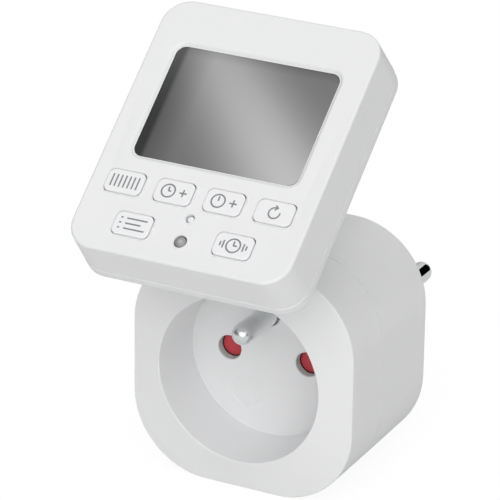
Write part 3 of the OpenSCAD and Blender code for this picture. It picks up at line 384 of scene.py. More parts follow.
class Graph:
    """Makes the nodes of one tree."""

    def __init__(self, tree):
        self.tree = tree

    def feed(self, node, sockets):
        """Sets or links a node's inputs. A list puts several links into one input."""
        for key, given in sockets.items():
            for value in given if isinstance(given, list) else [given]:
                if isinstance(value, Field):
                    value = value.socket
                if isinstance(value, bpy.types.NodeSocket):
                    self.tree.links.new(value, node.inputs[key])
                else:
                    node.inputs[key].default_value = value

    def node(self, kind, settings=None, sockets=None):
        """A node of that kind, with its settings and then the values or links of its inputs."""
        node = self.tree.nodes.new(kind)
        for name, value in (settings or {}).items():
            if name == "stops":
                ramp = node.color_ramp.elements
                while len(ramp) < len(value):
                    ramp.new(1.0)
                for element, (place, tone) in zip(ramp, value):
                    element.position = place
                    element.color = (*tone, 1.0)
            else:
                setattr(node, name, value)
        self.feed(node, sockets or {})
        return node

    def shape(self, kind, sockets, **settings):
        """What a geometry node makes."""
        return self.node(f"GeometryNode{kind}", settings, sockets).outputs[0]

    def vector(self, x=0.0, y=0.0, z=0.0):
        return self.node("ShaderNodeCombineXYZ", None, {0: x, 1: y, 2: z}).outputs[0]

    def field(self, node, name=0):
        return Field(self, node.outputs[name])

    def noise(self, place, scale, detail=2.0):
        """Cloudy values from 0 to 1 over the surface."""
        return self.field(self.node(
            "ShaderNodeTexNoise", None, {"Vector": place, "Scale": scale, "Detail": detail}
        ), "Fac")

    def blend(self, factor, one, other):
        """A colour between two, by a factor."""
        return self.node(
            "ShaderNodeMix", {"data_type": "RGBA"}, {"Factor": factor, "A": one, "B": other}
        ).outputs["Result"]

    def bump(self, height, distance):
        """A normal for small heights, in metres."""
        return self.node(
            "ShaderNodeBump", None, {"Height": height, "Distance": distance}
        ).outputs["Normal"]

    def seen_directly(self):
        """1 for the camera's own rays and those through glass, which see plain white."""
        path = self.node("ShaderNodeLightPath")
        return self.field(path, "Is Camera Ray") + self.field(path, "Is Transmission Ray")


def tinted(tone, amount):
    return tuple(min(1.0, channel * amount) for channel in tone)


def opaque(tone):
    return (*tone, 1.0)


def empty_material(name):
    """A material with no nodes yet, and its graph."""
    material = bpy.data.materials.new(name)
    material.use_nodes = True
    material.node_tree.nodes.clear()
    return material, Graph(material.node_tree)


def new_material(name):
    """A node material, with its graph, shader and object coordinates."""
    material, graph = empty_material(name)
    shader = graph.node("ShaderNodeBsdfPrincipled")
    graph.node("ShaderNodeOutputMaterial", None, {"Surface": shader.outputs[0]})
    place = graph.node("ShaderNodeTexCoord").outputs["Object"]
    return material, graph, shader, place


def diffuse(graph, tone):
    """A plain matt grey."""
    return graph.node(
        "ShaderNodeBsdfDiffuse", None, {"Color": (tone, tone, tone, 1.0)}
    ).outputs[0]


def grained(name, tone, roughness, grain=0.00018, depth=0.0000015, metallic=0.0, coat=0.0,
            spread=0.04, stretch=(1, 1, 1)):
    """A finish with a fine grain, uneven gloss and a slightly uneven colour."""
    material, graph, shader, place = new_material(name)
    mapped = graph.node("ShaderNodeMapping", None, {"Vector": place, "Scale": stretch}).outputs[0]
    fine = graph.noise(mapped, 1 / grain)
    broad = graph.noise(mapped, 0.04 / grain, 3.0)
    shade = graph.blend(broad, opaque(tinted(tone, 1 - spread)), opaque(tinted(tone, 1 + spread)))
    graph.feed(shader, {
        "Base Color": shade,
        "Roughness": (roughness - 0.04 + 0.08 * fine).clamped(),
        "Metallic": metallic,
        "Coat Weight": coat,
        "Normal": graph.bump(fine, depth),
    })
    return material


def display_finish_and_painted_light(look):
    """Dark display glass: grey, with a painted reflection as a lighter slanting band, painted
    shade at its left end and a painted shadow along its top.
    """
    material, graph, shader, place = new_material("display_glass_painted_light")
    head = bpy.context.scene.timer_head
    turned = graph.node("ShaderNodeMapping", {"vector_type": "TEXTURE"}, {
        "Vector": place,
        "Location": HEAD.to_translation(),
        "Rotation": HEAD.to_euler(),
    }).outputs[0]
    parts = graph.node("ShaderNodeSeparateXYZ", None, {0: turned})
    across = graph.field(parts, 0) / (head.window_width / 2)
    up = (graph.field(parts, 1) - head.window_up) / (head.window_height / 2)
    # Painted reflection: a lighter band slants across the display in place of a softbox's
    # reflection.
    off_painted_reflection = (across + look.painted_reflection_slant * up - look.painted_reflection_at) / (look.painted_reflection_width - 0.065 * up)
    painted_reflection = math.e ** -(off_painted_reflection * off_painted_reflection)
    level = look.glass_dark + 0.015 * across + (look.painted_reflection_gain - 0.058 * up) * painted_reflection
    # Painted shade darkens the display along its left end, and a painted shadow darkens it along
    # its top edge.
    painted_left_low = 0.13 + (0.045 + 0.15 * up).clamped()
    painted_left_rise = (0.545 * ((across + 0.895) * 18).clamped()
                 + 0.455 * ((across + 0.84) * 3).clamped())
    painted_left_shade = painted_left_low + (1.0 - painted_left_low) * painted_left_rise
    painted_top_shadow_low = 0.72 - 0.1 * across
    painted_top_shadow = painted_top_shadow_low + (1.0 - painted_top_shadow_low) * ((1.0 - up) * 5.7).clamped()
    shade = graph.blend((level * painted_left_shade * painted_top_shadow).clamped(), (0, 0, 0, 1), (1, 1, 1, 1))
    speckle = graph.noise(place, 9000)
    graph.feed(shader, {
        "Base Color": shade,
        "Roughness": 0.28 + 0.05 * speckle,
        "Coat Weight": 0.25,
        "Coat Roughness": 0.12,
        "Specular IOR Level": 0.3,
    })
    return material


def lamp_finish_and_painted_light(look):
    """Diffused resin with a painted highlight in the middle and painted shade darkening towards
    its rim.
    """
    material, graph, shader, place = new_material("lamp_resin")
    head = bpy.context.scene.timer_head
    centre = HEAD @ Vector((0, -head.lamp_drop, 0))
    gap = graph.node("ShaderNodeVectorMath", {"operation": "DISTANCE"}, {0: place, 1: centre})
    outward = graph.field(gap, "Value") / head.lamp
    # Painted highlight in the middle, fading to painted shade at the rim.
    painted_light_greys = ((0.0, 0.62), (0.25, 0.42), (0.6, 0.30), (1.0, 0.2))
    ramp = graph.node("ShaderNodeValToRGB", {"stops": [(at, (grey,) * 3) for at, grey in painted_light_greys]},
                      {"Fac": outward.clamped()})
    cloud = graph.noise(place, 2500)
    shade = graph.blend(0.25 * cloud, ramp.outputs[0], opaque(look.lamp))
    graph.feed(shader, {
        "Base Color": shade,
        "Roughness": 0.25 + 0.1 * cloud,
        "Coat Weight": 0.5,
        "Normal": graph.bump(cloud, 0.000004),
    })
    return material


def board_finish():
    """Green solder mask over faint copper tracks."""
    material, graph, shader, place = new_material("solder_mask")
    tracks = graph.node("ShaderNodeTexBrick", {"offset": 0.5}, {
        "Vector": place,
        "Scale": 260.0,
        "Mortar Size": 0.03,
        "Color1": (0.02, 0.12, 0.05, 1),
        "Color2": (0.025, 0.15, 0.06, 1),
        "Mortar": (0.08, 0.28, 0.12, 1),
    })
    cloud = graph.noise(place, 1200)
    graph.feed(shader, {
        "Base Color": tracks.outputs["Color"],
        "Roughness": 0.35 + 0.15 * cloud,
        "Normal": graph.bump(graph.field(tracks, "Fac"), 0.00002),
    })
    return material


def make_finishes(look):
    """Every finish by name."""
    steel = (0.56, 0.57, 0.58)
    black = (0.02, 0.02, 0.022)
    return {
        "white": grained("white_plastic", look.white, look.gloss, spread=0.012),
        "key": grained("key_plastic", look.key, look.gloss - 0.04, spread=0.012),
        "red": grained("red_plastic", look.red, 0.5, grain=0.0005, depth=0.00001, spread=0.12),
        # A darker copy of the shutter's red, as painted shade round the pads.
        "painted_shade_red": grained("shutter_plate_painted_shade", tinted(look.red, 0.12), 0.7, spread=0.2),
        # Grey of the liners that paint shade on the contact holes' walls.
        "shade_liner": grained("grey_shade_liner", (0.58, 0.68, 0.67), 0.5, spread=0.06),
        "ink": grained("printed_ink", look.ink, 0.55, grain=0.00008, spread=0.08),
        "lamp": lamp_finish_and_painted_light(look),
        "glass": display_finish_and_painted_light(look),
        "nickel": grained("satin_nickel", look.nickel, 0.25, grain=0.00012, depth=0.0000012,
                          metallic=1.0, spread=0.1, stretch=(1, 0.06, 1)),
        "chrome": grained("bright_nickel", look.chrome, 0.07, grain=0.0004, depth=0.0000002,
                          metallic=1.0, spread=0.01),
        "steel": grained("zinc_plate", steel, 0.32, metallic=1.0, spread=0.08),
        "brass": grained("brass_strip", (0.72, 0.5, 0.2), 0.3, metallic=1.0, spread=0.06),
        "cream": grained("cream_insulator", (0.68, 0.66, 0.58), 0.5, spread=0.03),
        "board": board_finish(),
        "relay": grained("relay_case", (0.03, 0.13, 0.4), 0.4, spread=0.04),
        "yellow": grained("film_capacitor_case", (0.68, 0.48, 0.05), 0.38, spread=0.05),
        "blue": grained("varistor_coat", (0.03, 0.1, 0.35), 0.25, grain=0.0006, coat=0.4),
        "black": grained("black_rubber", black, 0.6, spread=0.1),
        "ceramic": grained("fuse_ceramic", (0.5, 0.51, 0.45), 0.55, spread=0.04),
        "cable": grained("cable_jacket", (0.3, 0.31, 0.32), 0.5, spread=0.06),
        "lcd": grained("display_cell", (0.36, 0.40, 0.37), 0.15, coat=0.5, spread=0.02),
        "foil": grained("silver_film", (0.62, 0.64, 0.62), 0.4, metallic=0.7, spread=0.03),
        "rubber": grained("silicone_mat", (0.5, 0.51, 0.53), 0.45, spread=0.03),
    }


# ---------------------------------------------------------------- drawing


def axes(u, v, n, origin=(0, 0, 0)):
    """A frame from its three directions and its origin."""
    return Matrix([*zip(u, v, n, origin), (0, 0, 0, 1)])


def head_place():
    """The head's own frame: u to the right, v up the face and n out of the face."""
    out = -PRESS.normalized()
    up = out.cross(Vector((1, 0, 0)))
    return axes((1, 0, 0), up, out, PIVOT - HINGE_UP * up + (HEAD_DEPTH + HINGE_STANDOFF) * out)


BODY = axes((1, 0, 0), (0, 0, 1), (0, -1, 0), (0, HOUSING_LOW.y, 0))
PLUG = axes((-1, 0, 0), (0, 0, 1), (0, 1, 0))
SIDE = axes((0, 1, 0), (0, 0, 1), (1, 0, 0))
HEAD = head_place()


def rounded(width, height, radius, n, middle=(0, 0), steps=10, grow=0.0):
    """Points of a rounded rectangle at depth n, anticlockwise, grown by some margin."""
    radius += grow
    points = []
    for quarter, (right, up) in enumerate(((1, 1), (-1, 1), (-1, -1), (1, -1))):
        u = middle[0] + right * ((width + 2 * grow) / 2 - radius)
        v = middle[1] + up * ((height + 2 * grow) / 2 - radius)
        for i in range(steps + 1):
            angle = math.radians(90 * (quarter + i / steps))
            points.append((u + radius * math.cos(angle), v + radius * math.sin(angle), n))
    return points


def squared(width, height, radius, n, grow=0.0, count=192):
    """The same outline with its points at even angles round its middle, as a circle's are."""
    half_width, half_height, radius = width / 2 + grow, height / 2 + grow, radius + grow
    across, rise = half_width - radius, half_height - radius
    points = []
    for i in range(count):
        angle = 2 * math.pi * i / count
        c, s = math.cos(angle), math.sin(angle)
        reach = min(half_width / max(abs(c), 1e-9), half_height / max(abs(s), 1e-9))
        if reach * abs(c) > across and reach * abs(s) > rise:
            along = across * abs(c) + rise * abs(s)
            reach = along + math.sqrt(along ** 2 - across ** 2 - rise ** 2 + radius ** 2)
        points.append((reach * c, reach * s, n))
    return points


def circle(radius, n, middle=(0, 0), count=64):
    """Points of a circle at depth n, anticlockwise."""
    turn = 2 * math.pi / count
    return [
        (middle[0] + radius * math.cos(i * turn), middle[1] + radius * math.sin(i * turn), n)
        for i in range(count)
    ]


def quarter_turn(steps):
    """Angles from 0 to a right angle."""
    return [math.pi / 2 * i / steps for i in range(steps + 1)]


def fillet(radius, steps=5):
    """Inset and drop of each ring of a rounded edge, from the face to the side."""
    return [(radius - radius * math.sin(a), radius - radius * math.cos(a))
            for a in quarter_turn(steps)]


def rim(radius, n, edge, steps=5, up=1):
    """Profile of a rounded edge that ends at n, from the side to the face."""
    return [(radius - inset, n - up * drop) for inset, drop in reversed(fillet(edge, steps))]


def within(point, loop):
    """True if a flat point lies inside a closed loop of flat points."""
    inside = False
    for (x0, y0), (x1, y1) in zip(loop, loop[1:] + loop[:1]):
        if (y0 > point[1]) != (y1 > point[1]):
            if point[0] < (x1 - x0) * (point[1] - y0) / (y1 - y0) + x0:
                inside = not inside
    return inside


class Moulding:
    """A closed mesh drawn in its own frame: u to the right, v up and n out of the front."""

    def __init__(self):
        self.bm = bmesh.new()

    def skin(self, *rings):
        """Joins rings of points with quads, and returns the first and the last loop."""
        loops = [[self.bm.verts.new(point) for point in ring] for ring in rings]
        for a, b in zip(loops, loops[1:]):
            for i in range(len(a)):
                j = (i + 1) % len(a)
                self.bm.faces.new((a[i], a[j], b[j], b[i]))
        return loops[0], loops[-1]

    def turn(self, profile, middle=(0, 0), count=64):
        """The skin of a turned wall, from pairs of radius and n."""
        return self.skin(*(circle(radius, n, middle, count) for radius, n in profile))

    def wells(self, u, v, profile, count=64):
        """Four turned wells round the middle: all their first loops, and all their last."""
        return zip(*(self.turn(profile, (x * u, y * v), count)
                     for x in (-1, 1) for y in (-1, 1)))

    def fill(self, outer, *holes):
        """Triangles between an outline and the holes in it."""
        loops = [outer, *holes]
        verts = [vert for loop in loops for vert in loop]
        flat = [Vector((vert.co.x, vert.co.y)) * 1000 for vert in verts]
        edges, start = [], 0
        for loop in loops:
            count = len(loop)
            edges += [(start + i, start + (i + 1) % count) for i in range(count)]
            start += count
        made = delaunay_2d_cdt(flat, edges, [], 0, 1e-7)
        outlines = [[tuple(vert.co.xy * 1000) for vert in loop] for loop in loops]
        for face in made[2]:
            middle = sum((made[0][i] for i in face), Vector((0, 0))) / len(face)
            if within(middle, outlines[0]) and not any(within(middle, o) for o in outlines[1:]):
                self.bm.faces.new([verts[made[3][i][0]] for i in face])

    def close(self, *loops):
        """One flat face over each loop."""
        for loop in loops:
            self.bm.faces.new(loop)

    def tip(self, loop, n, middle=(0, 0)):
        """Triangles from a loop to one point, such as a dome's."""
        top = self.bm.verts.new((*middle, n))
        for i in range(len(loop)):
            self.bm.faces.new((loop[i], loop[(i + 1) % len(loop)], top))

    def lathe(self, profile, middle=(0, 0)):
        """A closed turned shape. A radius of 0 at its end closes it at a point."""
        foot, top = self.turn([step for step in profile if step[0] > 0], middle)
        self.fill(foot)
        if profile[-1][0] == 0:
            self.tip(top, profile[-1][1], middle)
        else:
            self.fill(top)

    def mesh(self, name, place):
        bmesh.ops.recalc_face_normals(self.bm, faces=self.bm.faces)
        made = bpy.data.meshes.new(name)
        self.bm.to_mesh(made)
        self.bm.free()
        made.transform(place)
        return made

    def solid(self, name, place):
        """The finished piece, with its faces shaded."""
        return smooth(placed(self.mesh(name, place)))


def dome(radius, n, steps=10):
    """Profile of a half ball whose tip is at n."""
    rings = [(radius * math.cos(a), n - radius + radius * math.sin(a))
             for a in quarter_turn(steps)[:-1]]
    return [*rings, (0, n)]


def frozen(obj):
    """Turns what the modifiers make into the object's own mesh."""
    evaluated = obj.evaluated_get(bpy.context.evaluated_depsgraph_get())
    made = bpy.data.meshes.new_from_object(evaluated)
    obj.modifiers.clear()
    old = obj.data
    obj.data = made
    bpy.data.meshes.remove(old)
    return obj


def smooth(obj, limit=math.radians(32)):
    """Shades curved faces smooth, keeps sharp edges sharp and flat faces flat."""
    bm = bmesh.new()
    bm.from_mesh(obj.data)
    bmesh.ops.dissolve_degenerate(bm, edges=bm.edges, dist=1e-8)
    for face in bm.faces:
        face.smooth = True
    for edge in bm.edges:
        edge.smooth = len(edge.link_faces) == 2 and edge.calc_face_angle() < limit
    bm.to_mesh(obj.data)
    bm.free()
    weighted = obj.modifiers.new("Weighted normals", "WEIGHTED_NORMAL")
    weighted.keep_sharp = True
    weighted.weight = 80
    return frozen(obj)


def placed(mesh):
    """A new object with that mesh, linked to the scene."""
    obj = bpy.data.objects.new(mesh.name, mesh)
    bpy.context.scene.collection.objects.link(obj)
    return obj


def cut(obj, moulding, place):
    """Takes a moulding out of an object."""
    tool = placed(moulding.mesh("cutter", place))
    step = obj.modifiers.new("Cut", "BOOLEAN")
    step.object = tool
    step.solver = "EXACT"
    frozen(obj)
    mesh = tool.data
    bpy.data.objects.remove(tool)
    bpy.data.meshes.remove(mesh)


def block(low, high):
    """A plain block from its lowest to its highest corner, to cut with."""
    made = Moulding()
    corners = [(low[0], low[1]), (high[0], low[1]), (high[0], high[1]), (low[0], high[1])]
    made.close(*made.skin(*([(u, v, n) for u, v in corners] for n in (low[2], high[2]))))
    return made


def dress(mesh, finish):
    """Gives a mesh one finish."""
    mesh.materials.clear()
    mesh.materials.append(FINISHES[finish])


def piece(obj, body, finish, replaces=()):
    """Gives a finished mesh its finish, its body and the nodes that it stands for."""
    dress(obj.data, finish)
    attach(obj, body)
    if replaces:
        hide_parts(*replaces)
    return obj


FINISHES = {}


# ------------------------------------------------------------ node shapes


def shape_tree(name, inputs):
    """A geometry tree with named inputs: its graph, its inputs and each one's identifier."""
    tree = bpy.data.node_groups.new(name, "GeometryNodeTree")
    tree.interface.new_socket("Geometry", in_out="OUTPUT", socket_type="NodeSocketGeometry")
    known = {}
    for label, kind in {"Geometry": "Geometry", **inputs, "Finish": "Material"}.items():
        socket = tree.interface.new_socket(label, in_out="INPUT", socket_type=f"NodeSocket{kind}")
        known[label] = socket.identifier
    graph = Graph(tree)
    given = graph.node("NodeGroupInput")
    return graph, {label: Field(graph, given.outputs[label]) for label in known}, known


def end_tree(graph, shape, finish):
    """Ends a tree with real geometry in its own finish."""
    real = graph.shape("RealizeInstances", {"Geometry": shape})
    dressed = graph.shape("SetMaterial", {"Geometry": real, "Material": finish})
    graph.node("NodeGroupOutput", None, {0: dressed})


def grown(mesh, finish, graph, known, values):
    """Runs a tree on a mesh and keeps what it makes as a plain mesh."""
    obj = placed(mesh)
    step = obj.modifiers.new("Shape", "NODES")
    step.node_group = graph.tree
    for label, value in {**values, "Finish": FINISHES[finish]}.items():
        step[known[label]] = value
    return frozen(obj)


def wire_mesh(name, paths, place):
    """Edges along each path, which a tree turns into lines of some thickness."""
    made = bpy.data.meshes.new(name)
    points, edges = [], []
    for path, closed in paths:
        start = len(points)
        points += [tuple(point) for point in path]
        edges += [(start + i, start + i + 1) for i in range(len(path) - 1)]
        if closed:
            edges.append((start + len(path) - 1, start))
    made.from_pydata(points, edges, [])
    made.transform(place)
    return made


def screw_tree():
    """Screws with crossed slots on a set of points, along one axis."""
    graph, put, known = shape_tree("Screws", {
        "Axis": "Vector", "Head radius": "Float", "Head thickness": "Float",
        "Shank radius": "Float", "Length": "Float",
    })
    head_r, head_t, reach = put["Head radius"], put["Head thickness"], put["Length"]

    def cylinder(radius, depth, lift, vertices):
        made = graph.shape("MeshCylinder", {
            "Vertices": vertices, "Radius": radius, "Depth": depth,
        }, fill_type="NGON")
        return graph.shape("Transform", {
            "Geometry": made, "Translation": graph.vector(z=depth * lift),
        })

    shank = cylinder(put["Shank radius"], reach, -0.5, 32)
    edge = head_t * 0.35
    pan = graph.shape("MeshBoolean", {
        "Mesh 2": [cylinder(head_r, head_t - edge, 0.5, 48),
                   cylinder(head_r - edge * 0.6, head_t, 0.5, 48)],
    }, operation="UNION", solver="EXACT")
    bars = []
    for turn in (0.0, math.pi / 2):
        bar = graph.shape("MeshCube", {
            "Size": graph.vector(head_r * 1.25, head_r * 0.26, head_t),
        })
        bars.append(graph.shape("Transform", {
            "Geometry": bar, "Translation": graph.vector(z=head_t), "Rotation": (0.0, 0.0, turn),
        }))
    slotted = graph.shape("MeshBoolean", {"Mesh 1": pan, "Mesh 2": bars},
                          operation="DIFFERENCE", solver="EXACT")
    whole = graph.shape("JoinGeometry", {"Geometry": [shank, slotted]})
    facing = graph.node("FunctionNodeAlignRotationToVector", {"axis": "Z"},
                        {"Vector": put["Axis"]})
    spread = graph.shape("InstanceOnPoints", {
        "Points": put["Geometry"], "Instance": whole, "Rotation": facing.outputs[0],
    })
    end_tree(graph, spread, put["Finish"])
    return graph, known


def line_tree(name, flat):
    """A line of some thickness along each chain of edges, round or flat in section."""
    graph, put, known = shape_tree(name, {
        "Width": "Float", "Thickness": "Float", "Bend": "Float", "Across": "Vector",
    })
    curve = graph.shape("MeshToCurve", {"Mesh": put["Geometry"]})
    soft = graph.shape("FilletCurve", {
        "Curve": curve, "Radius": put["Bend"], "Count": 6,
    }, mode="POLY")
    steady = graph.shape("SetCurveNormal", {"Curve": soft, "Normal": put["Across"]}, mode="FREE")
    if flat:
        section = graph.shape("CurvePrimitiveQuadrilateral", {
            "Width": put["Width"], "Height": put["Thickness"],
        })
    else:
        ring = graph.shape("CurvePrimitiveCircle", {
            "Resolution": 16, "Radius": put["Width"] * 0.5,
        })
        squash = graph.vector(put["Thickness"] / put["Width"], 1.0, 1.0)
        section = graph.shape("Transform", {"Geometry": ring, "Scale": squash})
    tube = graph.shape("CurveToMesh", {
        "Curve": steady, "Profile Curve": section, "Fill Caps": True,
    })
    end_tree(graph, tube, put["Finish"])
    return graph, known


# ----------------------------------------------------------------- pieces


def front_housing(size):
    """Front shell with its crowned face, its recess, the floor and the contact holes."""
    made = Moulding()
    seam, wall, depth = -size.seam, size.wall, size.recess_depth
    inside, back = -size.crown - wall, -depth - size.floor

    def outline(grow, n):
        return squared(size.width, size.height, size.corner, n, grow)

    rings = [outline(-wall, inside), outline(-wall, seam), outline(-SEAM_BEVEL, seam),
             outline(0, seam + SEAM_BEVEL)]
    rings += [outline(grow, n) for grow, n in rim(0, -size.crown, size.front_edge)]
    cup = [(size.recess + inset, -drop) for inset, drop in fillet(size.recess_lip, 6)]
    cup += [(size.recess_floor - FLOOR_EDGE * (1 - math.cos(a)),
             -depth + FLOOR_EDGE * (1 - math.sin(a))) for a in (0, 0.4, 0.8, 1.2, math.pi / 2)]
    inner, floor = made.skin(*rings, *(circle(radius, n, count=192) for radius, n in cup))
    cup_top, cup_end = made.turn([(size.recess + wall, inside), (size.recess + wall, back)],
                                 count=192)
    made.fill(inner, cup_top)
    half = size.pitch / 2
    holes = (((-half, 0), size.hole), ((half, 0), size.hole), ((0, size.pin_up), size.pin_seat))
    tops, ends = zip(*(made.turn([(radius + HOLE_EDGE, -depth), (radius, -depth - HOLE_EDGE),
                                  (radius, back)], at) for at, radius in holes))
    outside, width, bevel = MARK_RING
    ring, ring_in = made.turn([
        (outside, -depth), (outside - bevel, -depth - bevel),
        (outside - width + bevel, -depth - bevel), (outside - width, -depth),
    ], MARK_RING_AT)
    made.fill(floor, *tops, ring)
    made.fill(ring_in)
    made.fill(cup_end, *ends)
    return made.mesh("front_housing_shell", BODY)


def rear_housing(size):
    """Rear shell with its plug seat and four screw wells."""
    made = Moulding()
    seam, end, wall = -size.seam, -size.depth, size.wall

    def outline(grow, n):
        inward = size.draft * (seam - n) / (seam - end)
        return rounded(size.width, size.height, size.corner, n, steps=24, grow=grow - inward)

    outer = [outline(-wall, end + wall), outline(-wall, seam), outline(0, seam)]
    outer += [outline(grow, n) for grow, n in rim(0, end, size.back_edge, 7, up=-1)]
    inner, back = made.skin(*outer)
    seat_in, seat_out = made.turn([(size.plug_seat, end + wall), (size.plug_seat, end)],
                                  count=128)
    well_floor = end + size.well_depth
    feet, tops = made.wells(size.screw_at, size.screw_at, [
        (size.pillar, end + wall), (size.pillar, seam), (size.screw_hole, seam),
        (size.screw_hole, well_floor), (size.well, well_floor), (size.well, end + CHAMFER),
        (size.well + CHAMFER, end),
    ])
    made.fill(back, seat_out, *tops)
    made.fill(inner, seat_in, *feet)
    return made.mesh("rear_housing_shell", BODY)


def plug_body(size, body):
    """Round plug with its flange, end face and hollow inside."""
    made = Moulding()
    flange_back = -size.height - body.wall
    flange_end = flange_back - size.flange_sheet
    radius, inside = size.radius, size.radius - size.wall
    inner, face = made.turn([
        (inside, -size.face), (inside, flange_end), (size.flange, flange_end),
        (size.flange, flange_back), (radius, flange_back), *rim(radius, 0, size.edge),
    ], count=144)
    seats = [made.turn([(size.pin_seat, -size.face), (size.pin_seat, -CHAMFER),
                        (size.pin_seat + CHAMFER, 0)], (side * body.pitch / 2, 0))
             for side in (-1, 1)]
    aperture, tube = size.aperture, size.aperture + size.tube_wall
    mouth = 0.0003
    tube_end = -size.height + size.tube_wall
    seats.append(made.turn([(tube, -size.face), (tube, tube_end), (aperture, tube_end),
                            (aperture, -mouth), (aperture + mouth, 0)], (0, body.pin_up)))
    backs, fronts = zip(*seats)
    made.fill(face, *fronts)
    made.fill(inner, *backs)
    obj = placed(made.mesh("plug_shell", PLUG))
    beyond = 0.001
    for side in (-1, 1):
        groove = sorted((side * (radius - size.guide_depth), side * (radius + beyond)))
        cut(obj, block((groove[0], -size.guide / 2, -size.height + 0.0005),
                       (groove[1], size.guide / 2, beyond)), PLUG)
        half = size.clip / 2 + FIT
        pocket = sorted((side * (radius - size.pocket), side * (radius + beyond)))
        cut(obj, block((-half, pocket[0], size.clip_foot - size.height),
                       (half, pocket[1], beyond)), PLUG)
    return obj


def pin(name, profile, place, middle=(0, 0)):
    """A turned pin."""
    made = Moulding()
    made.lathe(profile, middle)
    return made.solid(name, place)


def key_spots(keys):
    """Each key's name and place on the face."""
    upper = ("day", "hour", "minute", "cycle")
    spots = {name: ((i - 1.5) * keys.pitch, -keys.row_1) for i, name in enumerate(upper)}
    spots["program"] = (-keys.row_2_at, -keys.row_2)
    spots["clock"] = (keys.row_2_at, -keys.row_2)
    return spots


def head_outline(size, grow, n):
    """The head's outline at depth n, which widens towards the seam."""
    widen = (size.seam_width - size.width) * min(1.0, -n / size.seam)
    return rounded(size.width + widen, size.height, size.corner, n, steps=16, grow=grow)


def head_shell(size, keys):
    """The head's front shell with the window and the holes for keys, button and lamp."""
    made = Moulding()
    wall, inset = size.wall, size.window_inset
    rings = [(-inward, -drop) for inward, drop in fillet(size.edge, 6)]
    rings += [(0, -size.seam), (-wall, -size.seam), (-wall, -wall)]
    front, inner = made.skin(*(head_outline(size, grow, n) for grow, n in rings))
    slope = ((1.0, 0.0), (0.86, 0.02), (0.62, 0.14), (0.38, 0.38), (0.16, 0.7), (0.0, 0.95))
    steps = [(size.window_bevel * out, -inset * down) for out, down in slope]
    lap, sheet = -size.window_lap, 5e-6
    steps += [(lap, -inset + 2 * sheet), (lap, -inset + sheet), (0, -inset + sheet), (0, -wall)]
    holes = [made.skin(*(rounded(size.window_width, size.window_height, size.window_corner, n,
                                 (0, size.window_up), 12, grow) for grow, n in steps))]
    # Each lip runs from its foot, below the face, up to the hole's edge.
    lips = [(LIP + grow, n) for grow, n in rim(0, 0, LIP, 3)] + [(0, -wall)]
    for spot in key_spots(keys).values():
        holes.append(made.skin(*(
            rounded(keys.width, keys.height, keys.corner - keys.gap - FIT, n, spot, 8,
                    keys.gap + grow) for grow, n in lips)))
    for drop, radius in ((size.reset_drop, size.reset + 0.00025),
                         (size.lamp_drop, size.lamp + FIT)):
        holes.append(made.turn([(radius + grow, n) for grow, n in lips], (0, -drop), 40))
    tops, ends = zip(*holes)
    made.fill(front, *tops)
    made.fill(inner, *ends)
    return made.mesh("head_front", HEAD)


def head_cover(size):
    """The head's back cover with its screw wells."""
    made = Moulding()
    bevel, wall, seam, end = size.seam_edge, size.wall, -size.seam, -size.depth
    rings = [(-wall, end + wall), (-wall, seam), (-bevel, seam), (0, seam - bevel),
             *rim(0, end, size.back_edge, 6, up=-1)]
    inner, back = made.skin(*(head_outline(size, grow, n) for grow, n in rings))
    well, floor = size.screw_head + FIT, end + size.screw_depth
    feet, tops = made.wells(
        size.width / 2 - size.screw_in, size.height / 2 - size.screw_in,
        [(size.screw_hole, end + wall), (size.screw_hole, floor), (well, floor),
         (well, end + CHAMFER), (well + CHAMFER, end)], 40)
    made.fill(back, *tops)
    made.fill(inner, *feet)
    return made.mesh("head_back", HEAD @ Matrix.Translation((0, -size.cover_slip, 0)))


def key_cap(name, keys, spot):
    """A key with a rounded edge, its flange behind the face and a flat underside."""
    made = Moulding()
    spot = (spot[0] - keys.sag, spot[1])
    rings = [(-inset, keys.proud - drop) for inset, drop in fillet(keys.edge, 4)]
    rings += [(0, KEY_FLANGE), (keys.flange, KEY_FLANGE),
              (keys.flange, KEY_FLANGE - KEY_FLANGE_SHEET)]
    top, foot = made.skin(*(rounded(keys.width, keys.height, keys.corner, n, spot, 8, grow)
                            for grow, n in rings))
    made.fill(top)
    made.fill(foot)
    return made.solid(name, HEAD)


def extruded(name, outline, n0, n1, place, edge):
    """A side drawing in u and v made solid along n, with rounded edges."""
    made = Moulding()
    made.close(*made.skin(*([(u, v, n) for u, v in outline] for n in (n0, n1))))
    obj = placed(made.mesh(name, place))
    soft = obj.modifiers.new("Rounding", "BEVEL")
    soft.width = edge
    soft.segments = 3
    soft.limit_method = "ANGLE"
    soft.angle_limit = math.radians(40)
    return smooth(frozen(obj))


def wrap(first, last, middle, radius, steps=24):
    """Points of the arc, anticlockwise, that tangents from two points lead to and from."""
    ends = []
    for point, side in ((first, -1), (last, 1)):
        to = Vector(middle) - Vector(point)
        turn = math.atan2(to.y, to.x) + side * math.asin(radius / to.length)
        reach = math.sqrt(to.length_squared - radius * radius)
        touch = reach * Vector((math.cos(turn), math.sin(turn))) - to
        ends.append(math.atan2(touch.y, touch.x))
    start, end = ends
    if end < start:
        end += 2 * math.pi
    angles = [start + (end - start) * i / steps for i in range(steps + 1)]
    return [(middle[0] + radius * math.cos(a), middle[1] + radius * math.sin(a)) for a in angles]


# --------------------------------------------------------- printed signs


def ring_path(x, y, radius, start=0.0, turn=360.0, steps=28):
    closed = turn >= 360
    count = steps if closed else steps + 1
    points = []
    for i in range(count):
        angle = math.radians(start + turn * i / steps)
        points.append((x + radius * math.cos(angle), y + radius * math.sin(angle)))
    return points, closed


def bar_path(x0, y0, x1, y1):
    return [(x0, y0), (x1, y1)], False


def plus_sign(x):
    return [bar_path(x - 0.85, 0, x + 0.85, 0), bar_path(x, -0.85, x, 0.85)]


